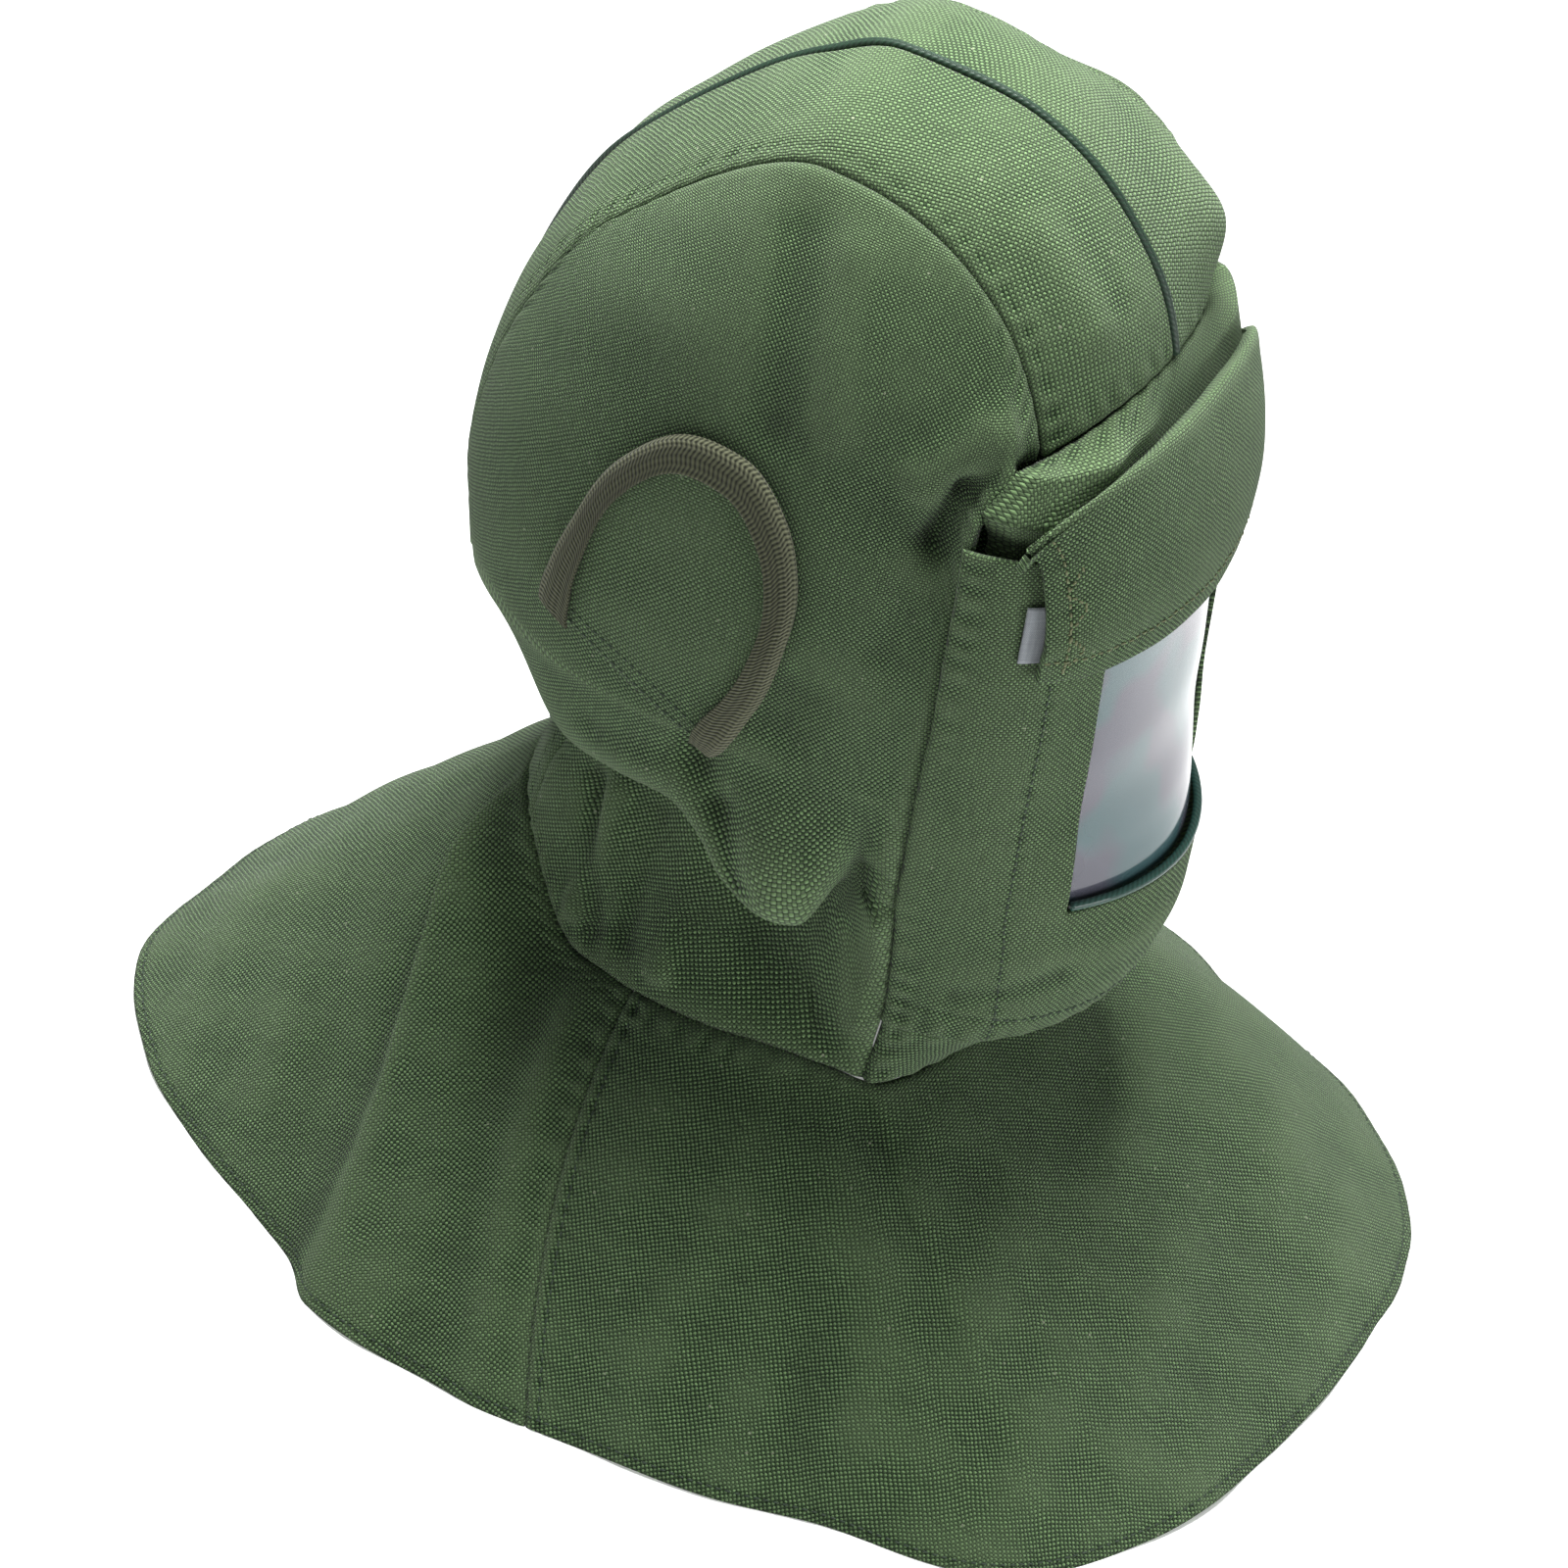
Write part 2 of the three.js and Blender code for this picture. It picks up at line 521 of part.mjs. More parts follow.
function sideBase(top, endAngle, v) {
  const angle = mix(top.angle, endAngle, smooth(Math.min(1, v / 0.6)));
  const z = v > 0.5 ? lowerPoint(angle, v).z : mix(top.z, HEAD[HEAD.length - 1].z, v / 0.5);
  return { angle, z };
}

function sidePanel(side) {
  const first = polar(frontPoint(LAST_ROW, PANEL_COLS)).angle;
  const final = polar(crownStation(SEAM_ROWS, 1, side)).angle;
  const left = FRONT.map((size, i) => polar(i === 0 ? crownStation(0, 1, side) : frontPoint(i, PANEL_COLS)));
  const right = FRONT.map((size, i) => polar(crownStation(TOP_ROWS + i, 1, side)));
  const grid = [];
  for (let i = 0; i <= LAST_ROW; i += 1) {
    const line = [];
    const v = i / LAST_ROW;
    const base = (col) => sideBase(polar(crownStation(col, 1, side)), mix(first, final, col / SIDE_COLS), v);
    const start = base(0);
    const end = base(SIDE_COLS);
    const spare = (edge) => edge.reach - sideReach(edge.angle, edge.z, v);
    for (let j = 0; j <= SIDE_COLS; j += 1) {
      const u = j / SIDE_COLS;
      const here = base(j);
      const nearLeft = Math.max(0, 1 - u / 0.45) ** 1.5;
      const nearRight = Math.max(0, 1 - (1 - u) / 0.45) ** 1.5;
      for (const key of ['angle', 'z']) {
        here[key] += nearLeft * (left[i][key] - start[key]) + nearRight * (right[i][key] - end[key]);
      }
      const reach = sideReach(here.angle, here.z, v)
        + nearLeft ** 3 * spare(left[i]) + nearRight ** 3 * spare(right[i]);
      line.push(dress(around(here.angle * side, reach, here.z)));
    }
    grid.push(line);
  }
  return grid;
}

const sideRight = sidePanel(1);
const sideLeft = sidePanel(-1);
sheet('side_panel_right', sideRight.map((line) => line.slice().reverse()), CLOTH, CANVAS, { seams: 'tblr' });
sheet('side_panel_left', sideLeft, CLOTH, CANVAS, { seams: 'tblr' });

// Window pane: slips into the pocket behind the front panel, one row per panel row, with how
// far its middle stands back from the panel's face
const PANE = [
  { row: 5, back: 2.8 },
  { row: 6, back: 2.8 },
  { row: 7, back: 3 },
  { row: 8, back: 3.2 },
  { row: 9, back: 4 },
  { row: 10, back: 5.5 },
  { row: 11, back: 5.5 },
];
const PANE_TUCK = 7;
const PANE_INSET = 2.4;
const PANE_COLS = 16;
const HALF_PANE = HALF_WINDOW + PANE_TUCK;
sheet('window_pane', PANE.map(({ row, back }) => {
  const panel = FRONT[row];
  const size = { ...panel, across: panel.across - PANE_INSET, middle: panel.middle + back };
  const line = [];
  for (let j = 0; j <= PANE_COLS; j += 1) {
    const x = mix(-HALF_PANE, HALF_PANE, j / PANE_COLS);
    line.push(sized(new THREE.Vector3(x, frontCurve(size, x), size.z)));
  }
  return line;
}), PANE_WALL, CLEAR);

// Rim cord along the window's lower edge
const rimPath = [];
for (let col = -WINDOW_COLS; col <= WINDOW_COLS; col += 1) {
  const p = dress(frontPoint(WINDOW_BOTTOM_ROW, col * 0.965));
  p.addScaledVector(outward(p), -CLOTH / 2);
  p.z += RIM_RADIUS + SEAM_GAP;
  rimPath.push(p);
}
cord('window_rim_cord', rimPath, RIM_RADIUS, 6, CORD);

// Brow flap: a doubled band over the window's top
const FLAP_COLS = 24;
const flapGrid = [];
for (let i = 0; i <= 7; i += 1) {
  const q = i / 7;
  const size = (column) => along(FLAP, 'q', column, q);
  const line = [];
  for (let j = 0; j <= FLAP_COLS; j += 1) {
    const share = 2 * j / FLAP_COLS - 1;
    const turn = share * size('span') * RAD;
    const x = Math.sign(turn) * size('across') * Math.abs(Math.sin(turn)) ** (2 / FLAP_ROUND);
    const depth = Math.cos(turn) ** (2 / FLAP_ROUND);
    const right = FLAP_END_DROP.right * Math.abs(share) ** 3;
    const drop = (1 - q) * (share < 0 ? right : FLAP_END_DROP.left * share ** 2);
    const y = size('along') + (size('middle') - size('along')) * depth;
    line.push(sized(new THREE.Vector3(x, y, size('z') - drop)));
  }
  flapGrid.push(line);
}
sheet('brow_flap', flapGrid, FLAP_WALL, CANVAS);

// Ear flaps and their bound edge
const EAR_COLS = 16;

function earPoint(side, turn, reach, lift) {
  const a = reach * Math.cos(turn * RAD);
  const b = reach * Math.sin(turn * RAD);
  const angle = (EAR.deg - a / EAR.side) * RAD;
  const at = (d, e) => dress(around((angle + d) * side, headReach(angle + d, EAR.z + b + e), EAR.z + b + e));
  const p = at(0, 0);
  const normal = at(0.02, 0).sub(p).cross(at(0, 2).sub(p)).normalize().multiplyScalar(-side);
  if (normal.dot(outward(p)) < 0) normal.negate();
  return p.addScaledVector(normal, lift);
}

function earGrid(side, rows) {
  return rows.map(({ reach, lift }) => {
    const line = [];
    for (let j = 0; j <= EAR_COLS; j += 1) {
      const turn = mix(EAR_ARCH[0].turn, EAR_ARCH[EAR_ARCH.length - 1].turn, j / EAR_COLS);
      line.push(earPoint(side, turn, reach(along(EAR_ARCH, 'turn', 'reach', turn)), lift));
    }
    return side > 0 ? line : line.reverse();
  });
}

const EAR_LIFT = 1.2 + CLOTH;
const TAPE_LIFT = EAR_LIFT + SEAM_GAP + TAPE_WALL;
for (const [hand, side] of [['right', 1], ['left', -1]]) {
  sheet(`ear_flap_${hand}`, earGrid(side, [0, 0.35, 0.65, 0.85, 1].map((share) => (
    { reach: (full) => full * share, lift: EAR_LIFT }))), CLOTH, CANVAS);
  sheet(`ear_binding_${hand}`, earGrid(side, [
    { reach: (full) => full - TAPE_WIDTH, lift: TAPE_LIFT },
    { reach: (full) => full - TAPE_WIDTH / 2, lift: TAPE_LIFT },
    { reach: (full) => full - 0.5, lift: TAPE_LIFT },
    { reach: (full) => full + 1.7, lift: TAPE_LIFT - 0.7 },
    { reach: (full) => full + 2.1, lift: TAPE_LIFT - 2.6 },
  ]), TAPE_WALL, TAPE);
}

// Care label, blank, beside the window on the wearer's right
const LABEL = { from: -79, to: -71, top: 322, bottom: 300 };
const labelGrid = [];
for (let i = 0; i <= 2; i += 1) {
  const line = [];
  const size = { across: 84.8, along: -66, middle: -115.6, round: 2.2 };
  for (let j = 0; j <= 3; j += 1) {
    const x = mix(LABEL.from, LABEL.to, j / 3);
    line.push(sized(new THREE.Vector3(x - 0.6, frontCurve(size, x) - 0.6, mix(LABEL.top, LABEL.bottom, i / 2))));
  }
  labelGrid.push(line);
}
sheet('care_label', labelGrid, LABEL_WALL, WHITE);

// Cape: two panels that hang from the neck seam and meet at the shoulder seams
const CAPE_ROWS = 7;
const SHOULDER_COL = 11;
const bottomOf = (grid) => grid[grid.length - 1];
const chinRing = bottomOf(panelGrid(CHIN_ROW, LAST_ROW));
const napeRing = [];
for (let k = CROWN_COLS; k >= 0; k -= 1) napeRing.push(dress(crownStation(SEAM_ROWS, k / CROWN_COLS, -1)));
for (let k = 1; k <= CROWN_COLS; k += 1) napeRing.push(dress(crownStation(SEAM_ROWS, k / CROWN_COLS, 1)));
const ringRight = bottomOf(sideRight);
const ringLeft = bottomOf(sideLeft);

function capePoint(ring, t) {
  const from = { angle: Math.atan2(-ring.x, AXIS - ring.y), reach: Math.hypot(ring.x, ring.y - AXIS) };
  const deg = from.angle / RAD;
  const hemAngle = along(HEM, 'ring', 'deg', deg) * RAD;
  const hemReach = along(HEM, 'ring', 'reach', deg) * REACH;
  let fold = 0;
  CAPE_FOLDS.forEach((f) => {
    const off = deg - mix(f.ring, f.hem, 1 - (1 - t) ** 3);
    const away = off / (off > 0 ? f.back : f.front);
    fold += mix(f.first, f.last, t) * Math.exp(-away * away) * Math.min(1, t / 0.15);
  });
  const reach = mix(from.reach, hemReach, t) + fold * REACH;
  const rise = along(HEM, 'ring', 'rise', deg) * UP;
  const z = ring.z * (1 - t) + rise * Math.sin(Math.PI * t);
  const p = around(mix(from.angle, hemAngle, t), reach, z);
  return p.setY(p.y + AXIS - HEAD_AXIS_Y);
}

function capeGrid(ring) {
  const grid = [ring];
  for (let i = 1; i <= CAPE_ROWS; i += 1) grid.push(ring.map((p) => capePoint(p, i / CAPE_ROWS)));
  return grid;
}

const frontRing = [
  ...ringRight.slice(0, SHOULDER_COL + 1).reverse(), ...chinRing.slice(1, -1), ...ringLeft.slice(0, SHOULDER_COL + 1)];
const backRing = [
  ...ringLeft.slice(SHOULDER_COL, -1), ...napeRing, ...ringRight.slice(SHOULDER_COL, -1).reverse()];
sheet('cape_front', capeGrid(frontRing), CLOTH, CANVAS, { seams: 'tlr' });
sheet('cape_back', capeGrid(backRing), CLOTH, CANVAS, { seams: 'tlr' });

export default group;
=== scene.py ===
# %% [markdown]
# # Sandblasting hood in green canvas
# The CAD model gives each piece's place and size. Here every piece of cloth is made again as a
# finer sheet from the same named sizes, with its folds, seams, weave and stitches.
# Lengths in the tables are millimetres up from the hem; the sheets are moved to the model's
# frame and turned to metres as they are made.

# %%
import math
import bpy
import numpy as np
from mathutils import Matrix, Vector


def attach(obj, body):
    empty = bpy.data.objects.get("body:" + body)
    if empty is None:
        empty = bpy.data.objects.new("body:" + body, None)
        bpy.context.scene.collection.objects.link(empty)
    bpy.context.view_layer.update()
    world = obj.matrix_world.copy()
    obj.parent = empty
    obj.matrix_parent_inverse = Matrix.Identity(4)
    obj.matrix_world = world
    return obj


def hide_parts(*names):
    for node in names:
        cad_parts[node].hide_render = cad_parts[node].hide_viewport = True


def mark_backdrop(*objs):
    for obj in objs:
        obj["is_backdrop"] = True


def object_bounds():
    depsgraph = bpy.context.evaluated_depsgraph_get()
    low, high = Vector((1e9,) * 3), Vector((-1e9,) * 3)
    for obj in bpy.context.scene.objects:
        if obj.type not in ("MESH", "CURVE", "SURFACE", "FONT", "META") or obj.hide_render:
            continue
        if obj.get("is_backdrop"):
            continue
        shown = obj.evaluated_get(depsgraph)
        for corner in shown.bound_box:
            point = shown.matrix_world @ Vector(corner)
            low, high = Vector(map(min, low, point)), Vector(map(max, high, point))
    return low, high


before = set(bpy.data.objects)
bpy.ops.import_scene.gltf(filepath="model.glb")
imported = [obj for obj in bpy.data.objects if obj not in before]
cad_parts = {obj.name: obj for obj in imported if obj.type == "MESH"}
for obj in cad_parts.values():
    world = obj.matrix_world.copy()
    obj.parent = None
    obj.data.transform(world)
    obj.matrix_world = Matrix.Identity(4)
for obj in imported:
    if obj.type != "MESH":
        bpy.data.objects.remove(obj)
size_before = [list(corner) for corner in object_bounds()]
print("pieces in the model:", len(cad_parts))

# %% [markdown]
# ## Named sizes and tables
# The hood could be sculpted by hand, but then seams would not meet. Tables with one row per
# level, direction or fold keep neighbouring pieces on the same surface.

# %%
TOP = 455.0
AXIS_Y = 12.0
CLOTH, DOUBLED, TAPE, PANE, LABEL = 1.8, 2.8, 1.2, 1.0, 0.8
GAP = 0.3
PIPING, RIM = 1.5, 1.6
WINDOW_HALF = 50.0
BELLY_Z = 232.0
UNDER_CROWN = 0.1
ORIGIN = np.array([0.0, AXIS_Y, TOP - CLOTH - UNDER_CROWN])


def table(names, *rows):
    """Columns of numbers by name."""
    values = np.array(rows, float)
    return {name: values[:, i] for i, name in enumerate(names.split())}


HEAD = table(
    "z front back half round",
    (455, 0, 0, 0, 2.0),
    (452, 38, 12, 31, 2.05),
    (446, 55, 22, 47, 2.1),
    (436, 71, 37, 58, 2.15),
    (420, 86, 55, 69, 2.2),
    (400, 99, 74, 78.5, 2.2),
    (375, 107, 94, 86.5, 2.25),
    (345, 111, 108, 91, 2.3),
    (310, 113, 118, 95, 2.35),
    (275, 113, 122, 96, 2.35),
    (232, 111, 118, 92, 2.25),
)
HEAD["fall"] = np.sqrt(TOP - HEAD["z"])

CROWN = table(
    "row lift right mid left",
    (0, 36, -58, 0, 58),
    (5, 62, -57, -3, 52),
    (10, 88, -57, -5, 48),
    (15, 113, -55, -6, 46),
    (20, 139, -52, -5, 46),
    (25, 177, -48, -3, 46),
    (29, 208, -46, -2, 44),
)
CENTRE_Z = 300.0
TOP_ROWS, BELLY_ROW, LAST_ROW = 20, 9, 18
SEAM_ROWS = TOP_ROWS + LAST_ROW
NAPE = {"right": 152, "mid": 179, "left": 152}

LOWER = table(
    "deg edge edge_z tuck tuck_z neck neck_z ring ring_z",
    (42, 97, 147, 96, 131, 95, 116, 96, 99),
    (47, 97, 160, 90, 140, 87, 118, 91, 101),
    (53, 88, 186, 72, 166, 72, 128, 86, 102),
    (63, 89, 166, 58, 162, 61, 130, 80, 103),
    (78, 82, 172, 50, 172, 57, 134, 75, 102),
    (96, 77, 194, 50, 188, 57, 136, 71, 100),
    (112, 77, 190, 51, 182, 58, 136, 70, 98),
    (130, 80, 186, 58, 176, 64, 138, 74, 99),
    (150, 81, 188, 73, 167, 79, 148, 83, 125),
    (180, 87, 186, 80, 167, 83, 151, 89, 131),
)
LOWER_ROWS = (9, 13.2, 14.6, 16.2, 18)

FRONT = table(
    "z across along middle round",
    (382, 58, -80, -94, 2.2),
    (366, 72, -74, -99, 2.2),
    (350, 81, -68, -105, 2.2),
    (338, 84, -66, -111, 2.2),
    (322, 84, -66, -114, 2.2),
    (306, 84, -66, -115, 2.2),
    (290, 84, -66, -116, 2.2),
    (270, 83, -66, -117, 2.2),
    (250, 82, -65, -119, 2.15),
    (228, 80, -64, -121.5, 2.05),
    (207, 77, -63, -127, 1.95),
    (188, 74, -62, -131, 1.9),
    (168, 70, -62, -131, 1.9),
    (150, 67, -62, -127, 1.95),
    (136, 65, -62, -122, 2.0),
    (127, 64, -61, -115, 2.0),
    (118, 63, -60, -100, 2.0),
    (108, 64, -59, -88, 2.0),
    (99, 65, -58, -79, 2.0),
)
FRONT["row"] = np.arange(19.0)
PANEL_TOP, WINDOW_TOP, WINDOW_BOTTOM, CHIN = 3, 6, 11, 15
WINDOW_COLS, PANEL_COLS = 7, 12

HEM = table(
    "ring deg reach rise",
    (-180, -180, 209, 1),
    (-150, -152, 204, 2),
    (-128, -125, 187, 4),
    (-105, -92, 192, 6),
    (-80, -72, 206, 6),
    (-60, -54, 216, 8),
    (-40, -38, 231, 10),
    (-20, -20, 244, 9),
    (0, -3, 237, 6),
    (18, 12, 234, 6),
    (32, 27, 240, 6),
    (46, 40, 238, 6),
    (62, 55, 208, 6),
    (80, 70, 188, 6),
    (105, 87, 179, 6),
    (128, 110, 174, 6),
    (142, 131, 179, 4),
    (158, 154, 201, 2),
    (170, 170, 215, 1),
    (180, 180, 209, 1),
)

CAPE_FOLDS = table(
    "ring hem front back first last",
    (166, 131, 14, 3.2, 9, 10),
    (118, 110, 5, 5, 4, 2),
    (45, 45, 7, 5, -5, -1),
    (28, 20, 9, 7, 3, 2),
    (-24, -26, 8, 8, -3, 0),
    (60, 60, 10, 10, 0, -6),
    (-60, -60, 10, 10, 0, -6),
    (-128, -128, 9, 7, 0, 8),
    (-143, -143, 9, 9, 0, -10),
)

FLAP = table(
    "q z middle across along span",
    (0, 363, -103.5, 83, -75, 78),
    (0.15, 367, -108, 86, -74, 74),
    (0.35, 358, -113, 87, -70, 66),
    (0.6, 336, -119.5, 88, -68, 62),
    (0.85, 310, -123, 88, -67, 61),
    (1, 294, -122, 87, -66, 61),
)
FLAP_ROUND, DROP_RIGHT, DROP_LEFT = 2.2, 26.0, 40.0

EAR_DEG, EAR_Z, EAR_SIDE = 103.0, 244.0, 1.66
EAR_ARCH = table(
    "turn reach",
    (-27, 33),
    (-8, 34),
    (14, 40),
    (40, 60),
    (53, 78),
    (64, 92),
    (77, 101),
    (89, 98),
    (101, 82),
    (115, 60),
    (131, 46),
    (153, 37),
)
TAPE_WIDTH = 10.0

# %% [markdown]
# ## Folds
# A fold is a line in space with a width and a height: cloth near the line moves out from the
# head's axis, or in where the height is negative. The first rows are the ones the CAD model
# has too; the others are the smaller creases that only show close up.

# %%
FOLDS = table(
    "x0 y0 z0 x1 y1 z1 wide high",
    (-80, -56, 334, -75, -61, 352, 7, -8),
    (-77, -46, 354, -68, -60, 372, 10, 4),
    (-90, 10, 226, -82, 0, 190, 8, -6),
    (-90, -14, 232, -84, -20, 176, 12, 3),
    (50, -78, 392, 67, -66, 377, 15, 8),
    (46, 8, 442, 48, -14, 440, 20, -3),
    (40, -76, 406, 58, -44, 416, 22, 8),
    (-60, 22, 160, -66, 20, 112, 6, 5),
    (-56, 36, 160, -62, 38, 112, 6, -5),
    (-48, 52, 160, -54, 56, 112, 6, 5),
    (60, 22, 160, 66, 20, 112, 6, 5),
    (56, 36, 160, 62, 38, 112, 6, -5),
    (-68, 12, 418, -88, 2, 361, 12, -2.6),
    (-68, -6, 416, -86, -14, 366, 10, 1.6),
    (-75, -62, 354, -66, -75, 366, 5, -3),
    (-66, -84, 355, -50, -96, 361, 10, 6),
    (-50, -96, 361, -28, -102, 364, 8, 3),
    (66, -84, 354, 50, -96, 360, 9, 4),
    (-77, -50, 330, -86, -46, 290, 7, -1.4),
    (-36, -52, 426, -34, -76, 402, 8, 1.5),
    (-20, -58, 424, -24, -76, 404, 7, -1.4),
    (-77, -52, 193, -75, -54, 181, 5, -7),
    (-91, -2, 204, -92, -12, 180, 6, -5),
    (-93, -20, 262, -92, -8, 212, 14, -3),
    (-84, 50, 212, -88, 14, 218, 8, -2),
    (-44, 62, 158, -57, 50, 108, 5, -3.5),
    (-64, -41, 152, -64, -52, 124, 6, 3),
    (-60, -84, 148, -44, -112, 158, 5, -1.5),
)
AXIS_TOP_Z, AXIS_BOTTOM_Z = 330.0, 60.0


def fading(away, wide):
    """1 on a line or an edge, fading away from it over a width."""
    return np.exp(-((away / wide) ** 2))


def dress(points):
    """Moves points by every fold near them."""
    height = np.zeros(points.shape[:-1])
    for i in range(len(FOLDS["wide"])):
        start = np.array([FOLDS[k][i] for k in ("x0", "y0", "z0")])
        run = np.array([FOLDS[k][i] for k in ("x1", "y1", "z1")]) - start
        t = np.clip((points - start) @ run / (run @ run), 0, 1)
        away = np.linalg.norm(points - start - t[..., None] * run, axis=-1)
        height += FOLDS["high"][i] * fading(away, FOLDS["wide"][i])
    return points + outward(points) * height[..., None]


def outward(points):
    """Direction away from the head's upright axis, or from the middle of the crown above it."""
    middle = np.zeros_like(points)
    middle[..., 1] = AXIS_Y
    middle[..., 2] = np.minimum(AXIS_TOP_Z, np.maximum(points[..., 2] - 1e-3, AXIS_BOTTOM_Z))
    way = points - middle
    return way / np.linalg.norm(way, axis=-1, keepdims=True)


# %% [markdown]
# ## Curves through the tables
# Hermite curves without overshoot, so that a row moved by a millimetre changes only its
# neighbourhood.

# %%
def through(xs, ys, at):
    """Smooth curve through (xs, ys) read at any array of places. ys may vary with the place."""
    xs, ys, at = np.asarray(xs, float), np.asarray(ys, float), np.asarray(at, float)
    step = np.diff(xs).reshape((-1,) + (1,) * (ys.ndim - 1))
    rise = np.diff(ys, axis=0) / step
    slope = np.empty_like(ys)
    slope[0], slope[-1] = rise[0], rise[-1]
    inner = (rise[:-1] * step[1:] + rise[1:] * step[:-1]) / (step[:-1] + step[1:])
    slope[1:-1] = np.where(rise[:-1] * rise[1:] <= 0, 0, inner)
    k = np.clip(np.searchsorted(xs, at, side="right") - 1, 0, len(xs) - 2)
    pick = lambda a, i: a[i] if a.ndim == 1 else np.take_along_axis(a, i[None], 0)[0]
    h = xs[k + 1] - xs[k]
    q = np.clip((at - xs[k]) / h, 0, 1)
    return ((1 + 2 * q) * (1 - q) ** 2 * pick(ys, k) + q * (1 - q) ** 2 * h * pick(slope, k)
            + q * q * (3 - 2 * q) * pick(ys, k + 1) + q * q * (q - 1) * h * pick(slope, k + 1))


def mix(a, b, t):
    return a + (b - a) * t


def stacked(*parts):
    """Coordinates joined into points. Each may be a number, a row, a column or a grid."""
    return np.stack(np.broadcast_arrays(*parts), -1)


def around(angle, reach, z):
    """Point from a direction round the head's axis, a distance and a height."""
    return stacked(-reach * np.sin(angle), AXIS_Y - reach * np.cos(angle), z)


def polar(points):
    """Direction, distance and height of points; both sides count from the front."""
    x, y, z = np.moveaxis(points, -1, 0)
    return np.arctan2(np.abs(x), AXIS_Y - y), np.hypot(x, y - AXIS_Y), z


# %% [markdown]
# ## The head cover's surface
# Level sections are rounded ovals. Below the belly the cloth tucks in under itself to the
# neck, so there a point is found by how far down the profile it lies instead of by height.

# %%
FARTHEST, HALVINGS = 260.0, 40
TURNED_BY, PULL = 0.6, 0.45


def head_reach(angle, z):
    """Distance of the head cover from its axis, by direction and height."""
    fall = np.sqrt(np.clip(TOP - z, 0, None))
    size = lambda name: through(HEAD["fall"], HEAD[name], fall)
    half = np.maximum(1e-6, size("half"))
    reach = np.maximum(1e-6, np.where(np.cos(angle) > 0, size("front"), size("back")))
    power = size("round")
    total = (np.abs(np.sin(angle)) / half) ** power + (np.abs(np.cos(angle)) / reach) ** power
    return total ** (-1 / power)


def crown_point(x, lift):
    """Point over the top: x across, lift round it as seen from the middle of the head."""
    x, lift = np.broadcast_arrays(np.asarray(x, float), np.asarray(lift, float))
    low, high = np.zeros(x.shape), np.full(x.shape, FARTHEST)
    for _ in range(HALVINGS):
        d = (low + high) / 2
        y, z = AXIS_Y - d * np.cos(lift), CENTRE_Z + d * np.sin(lift)
        angle = np.arctan2(-x, AXIS_Y - y)
        inside = (z < TOP) & (np.hypot(x, y - AXIS_Y) < head_reach(angle, z))
        low, high = np.where(inside, d, low), np.where(inside, high, d)
    return np.stack([x, AXIS_Y - low * np.cos(lift), CENTRE_Z + low * np.sin(lift)], -1)


def lower_point(angle, v):
    """Point below the belly: v runs from 0.5 at the belly to 1 at the neck seam."""
    angle, v = np.broadcast_arrays(np.asarray(angle, float), np.asarray(v, float))
    deg = np.degrees(np.abs(angle))
    size = lambda *names: [through(LOWER["deg"], LOWER[name], deg) for name in names]
    belly = np.full(angle.shape, BELLY_Z)
    reach = np.array([head_reach(angle, belly)] + size("edge", "tuck", "neck", "ring"))
    height = np.array([belly] + size("edge_z", "tuck_z", "neck_z", "ring_z"))
    row = v * LAST_ROW
    return around(angle, through(LOWER_ROWS, reach, row), through(LOWER_ROWS, height, row))


# %% [markdown]
# The two crown strips run from the brow over the top to the belly by a lift angle, and from
# there down to the nape in the same rows as the sides, so that the seam between them is shared.

# %%
def crown_station(row, share, side):
    """Point of the crown strip: row from brow to nape, share from the piping to the side seam."""
    row, share = np.broadcast_arrays(np.asarray(row, float), np.asarray(share, float))
    edge = "right" if side > 0 else "left"
    turn = TOP_ROWS + BELLY_ROW
    size = lambda name, at: through(CROWN["row"], CROWN[name], at)

    def over(at):
        return crown_point(mix(size("mid", at), size(edge, at), share), np.radians(size("lift", at)))

    top, belly = over(np.minimum(row, turn)), over(np.full(row.shape, float(turn)))
    low = np.clip((row - turn) / (SEAM_ROWS - turn), 0, 1)
    start = np.arctan2(-belly[..., 0] * side, AXIS_Y - belly[..., 1])
    start = np.where(start > 0, start, start + 2 * np.pi)
    end = np.radians(mix(NAPE["mid"] if side > 0 else 360 - NAPE["mid"], NAPE[edge], share))
    angle = mix(start, end, low)
    angle = np.where(angle > np.pi, angle - 2 * np.pi, angle)
    bottom = lower_point(angle, mix(0.5, 1, low)) * np.array([side, 1, 1])
    return np.where((row <= turn)[..., None], top, bottom)


# %% [markdown]
# The front is a set of level sections, one per row of its table, and is flatter than the head.
# Its columns are counted so that the window's side edges fall on whole ones.

# %%
def front_size(row):
    """Sizes of the front's level section at a row."""
    return {name: through(FRONT["row"], FRONT[name], row) for name in FRONT if name != "row"}


def front_curve(size, x):
    """Depth of a level section across the front."""
    share = np.minimum(1, np.abs(x) / size["across"])
    return mix(size["along"], size["middle"], (1 - share ** size["round"]) ** (1 / size["round"]))


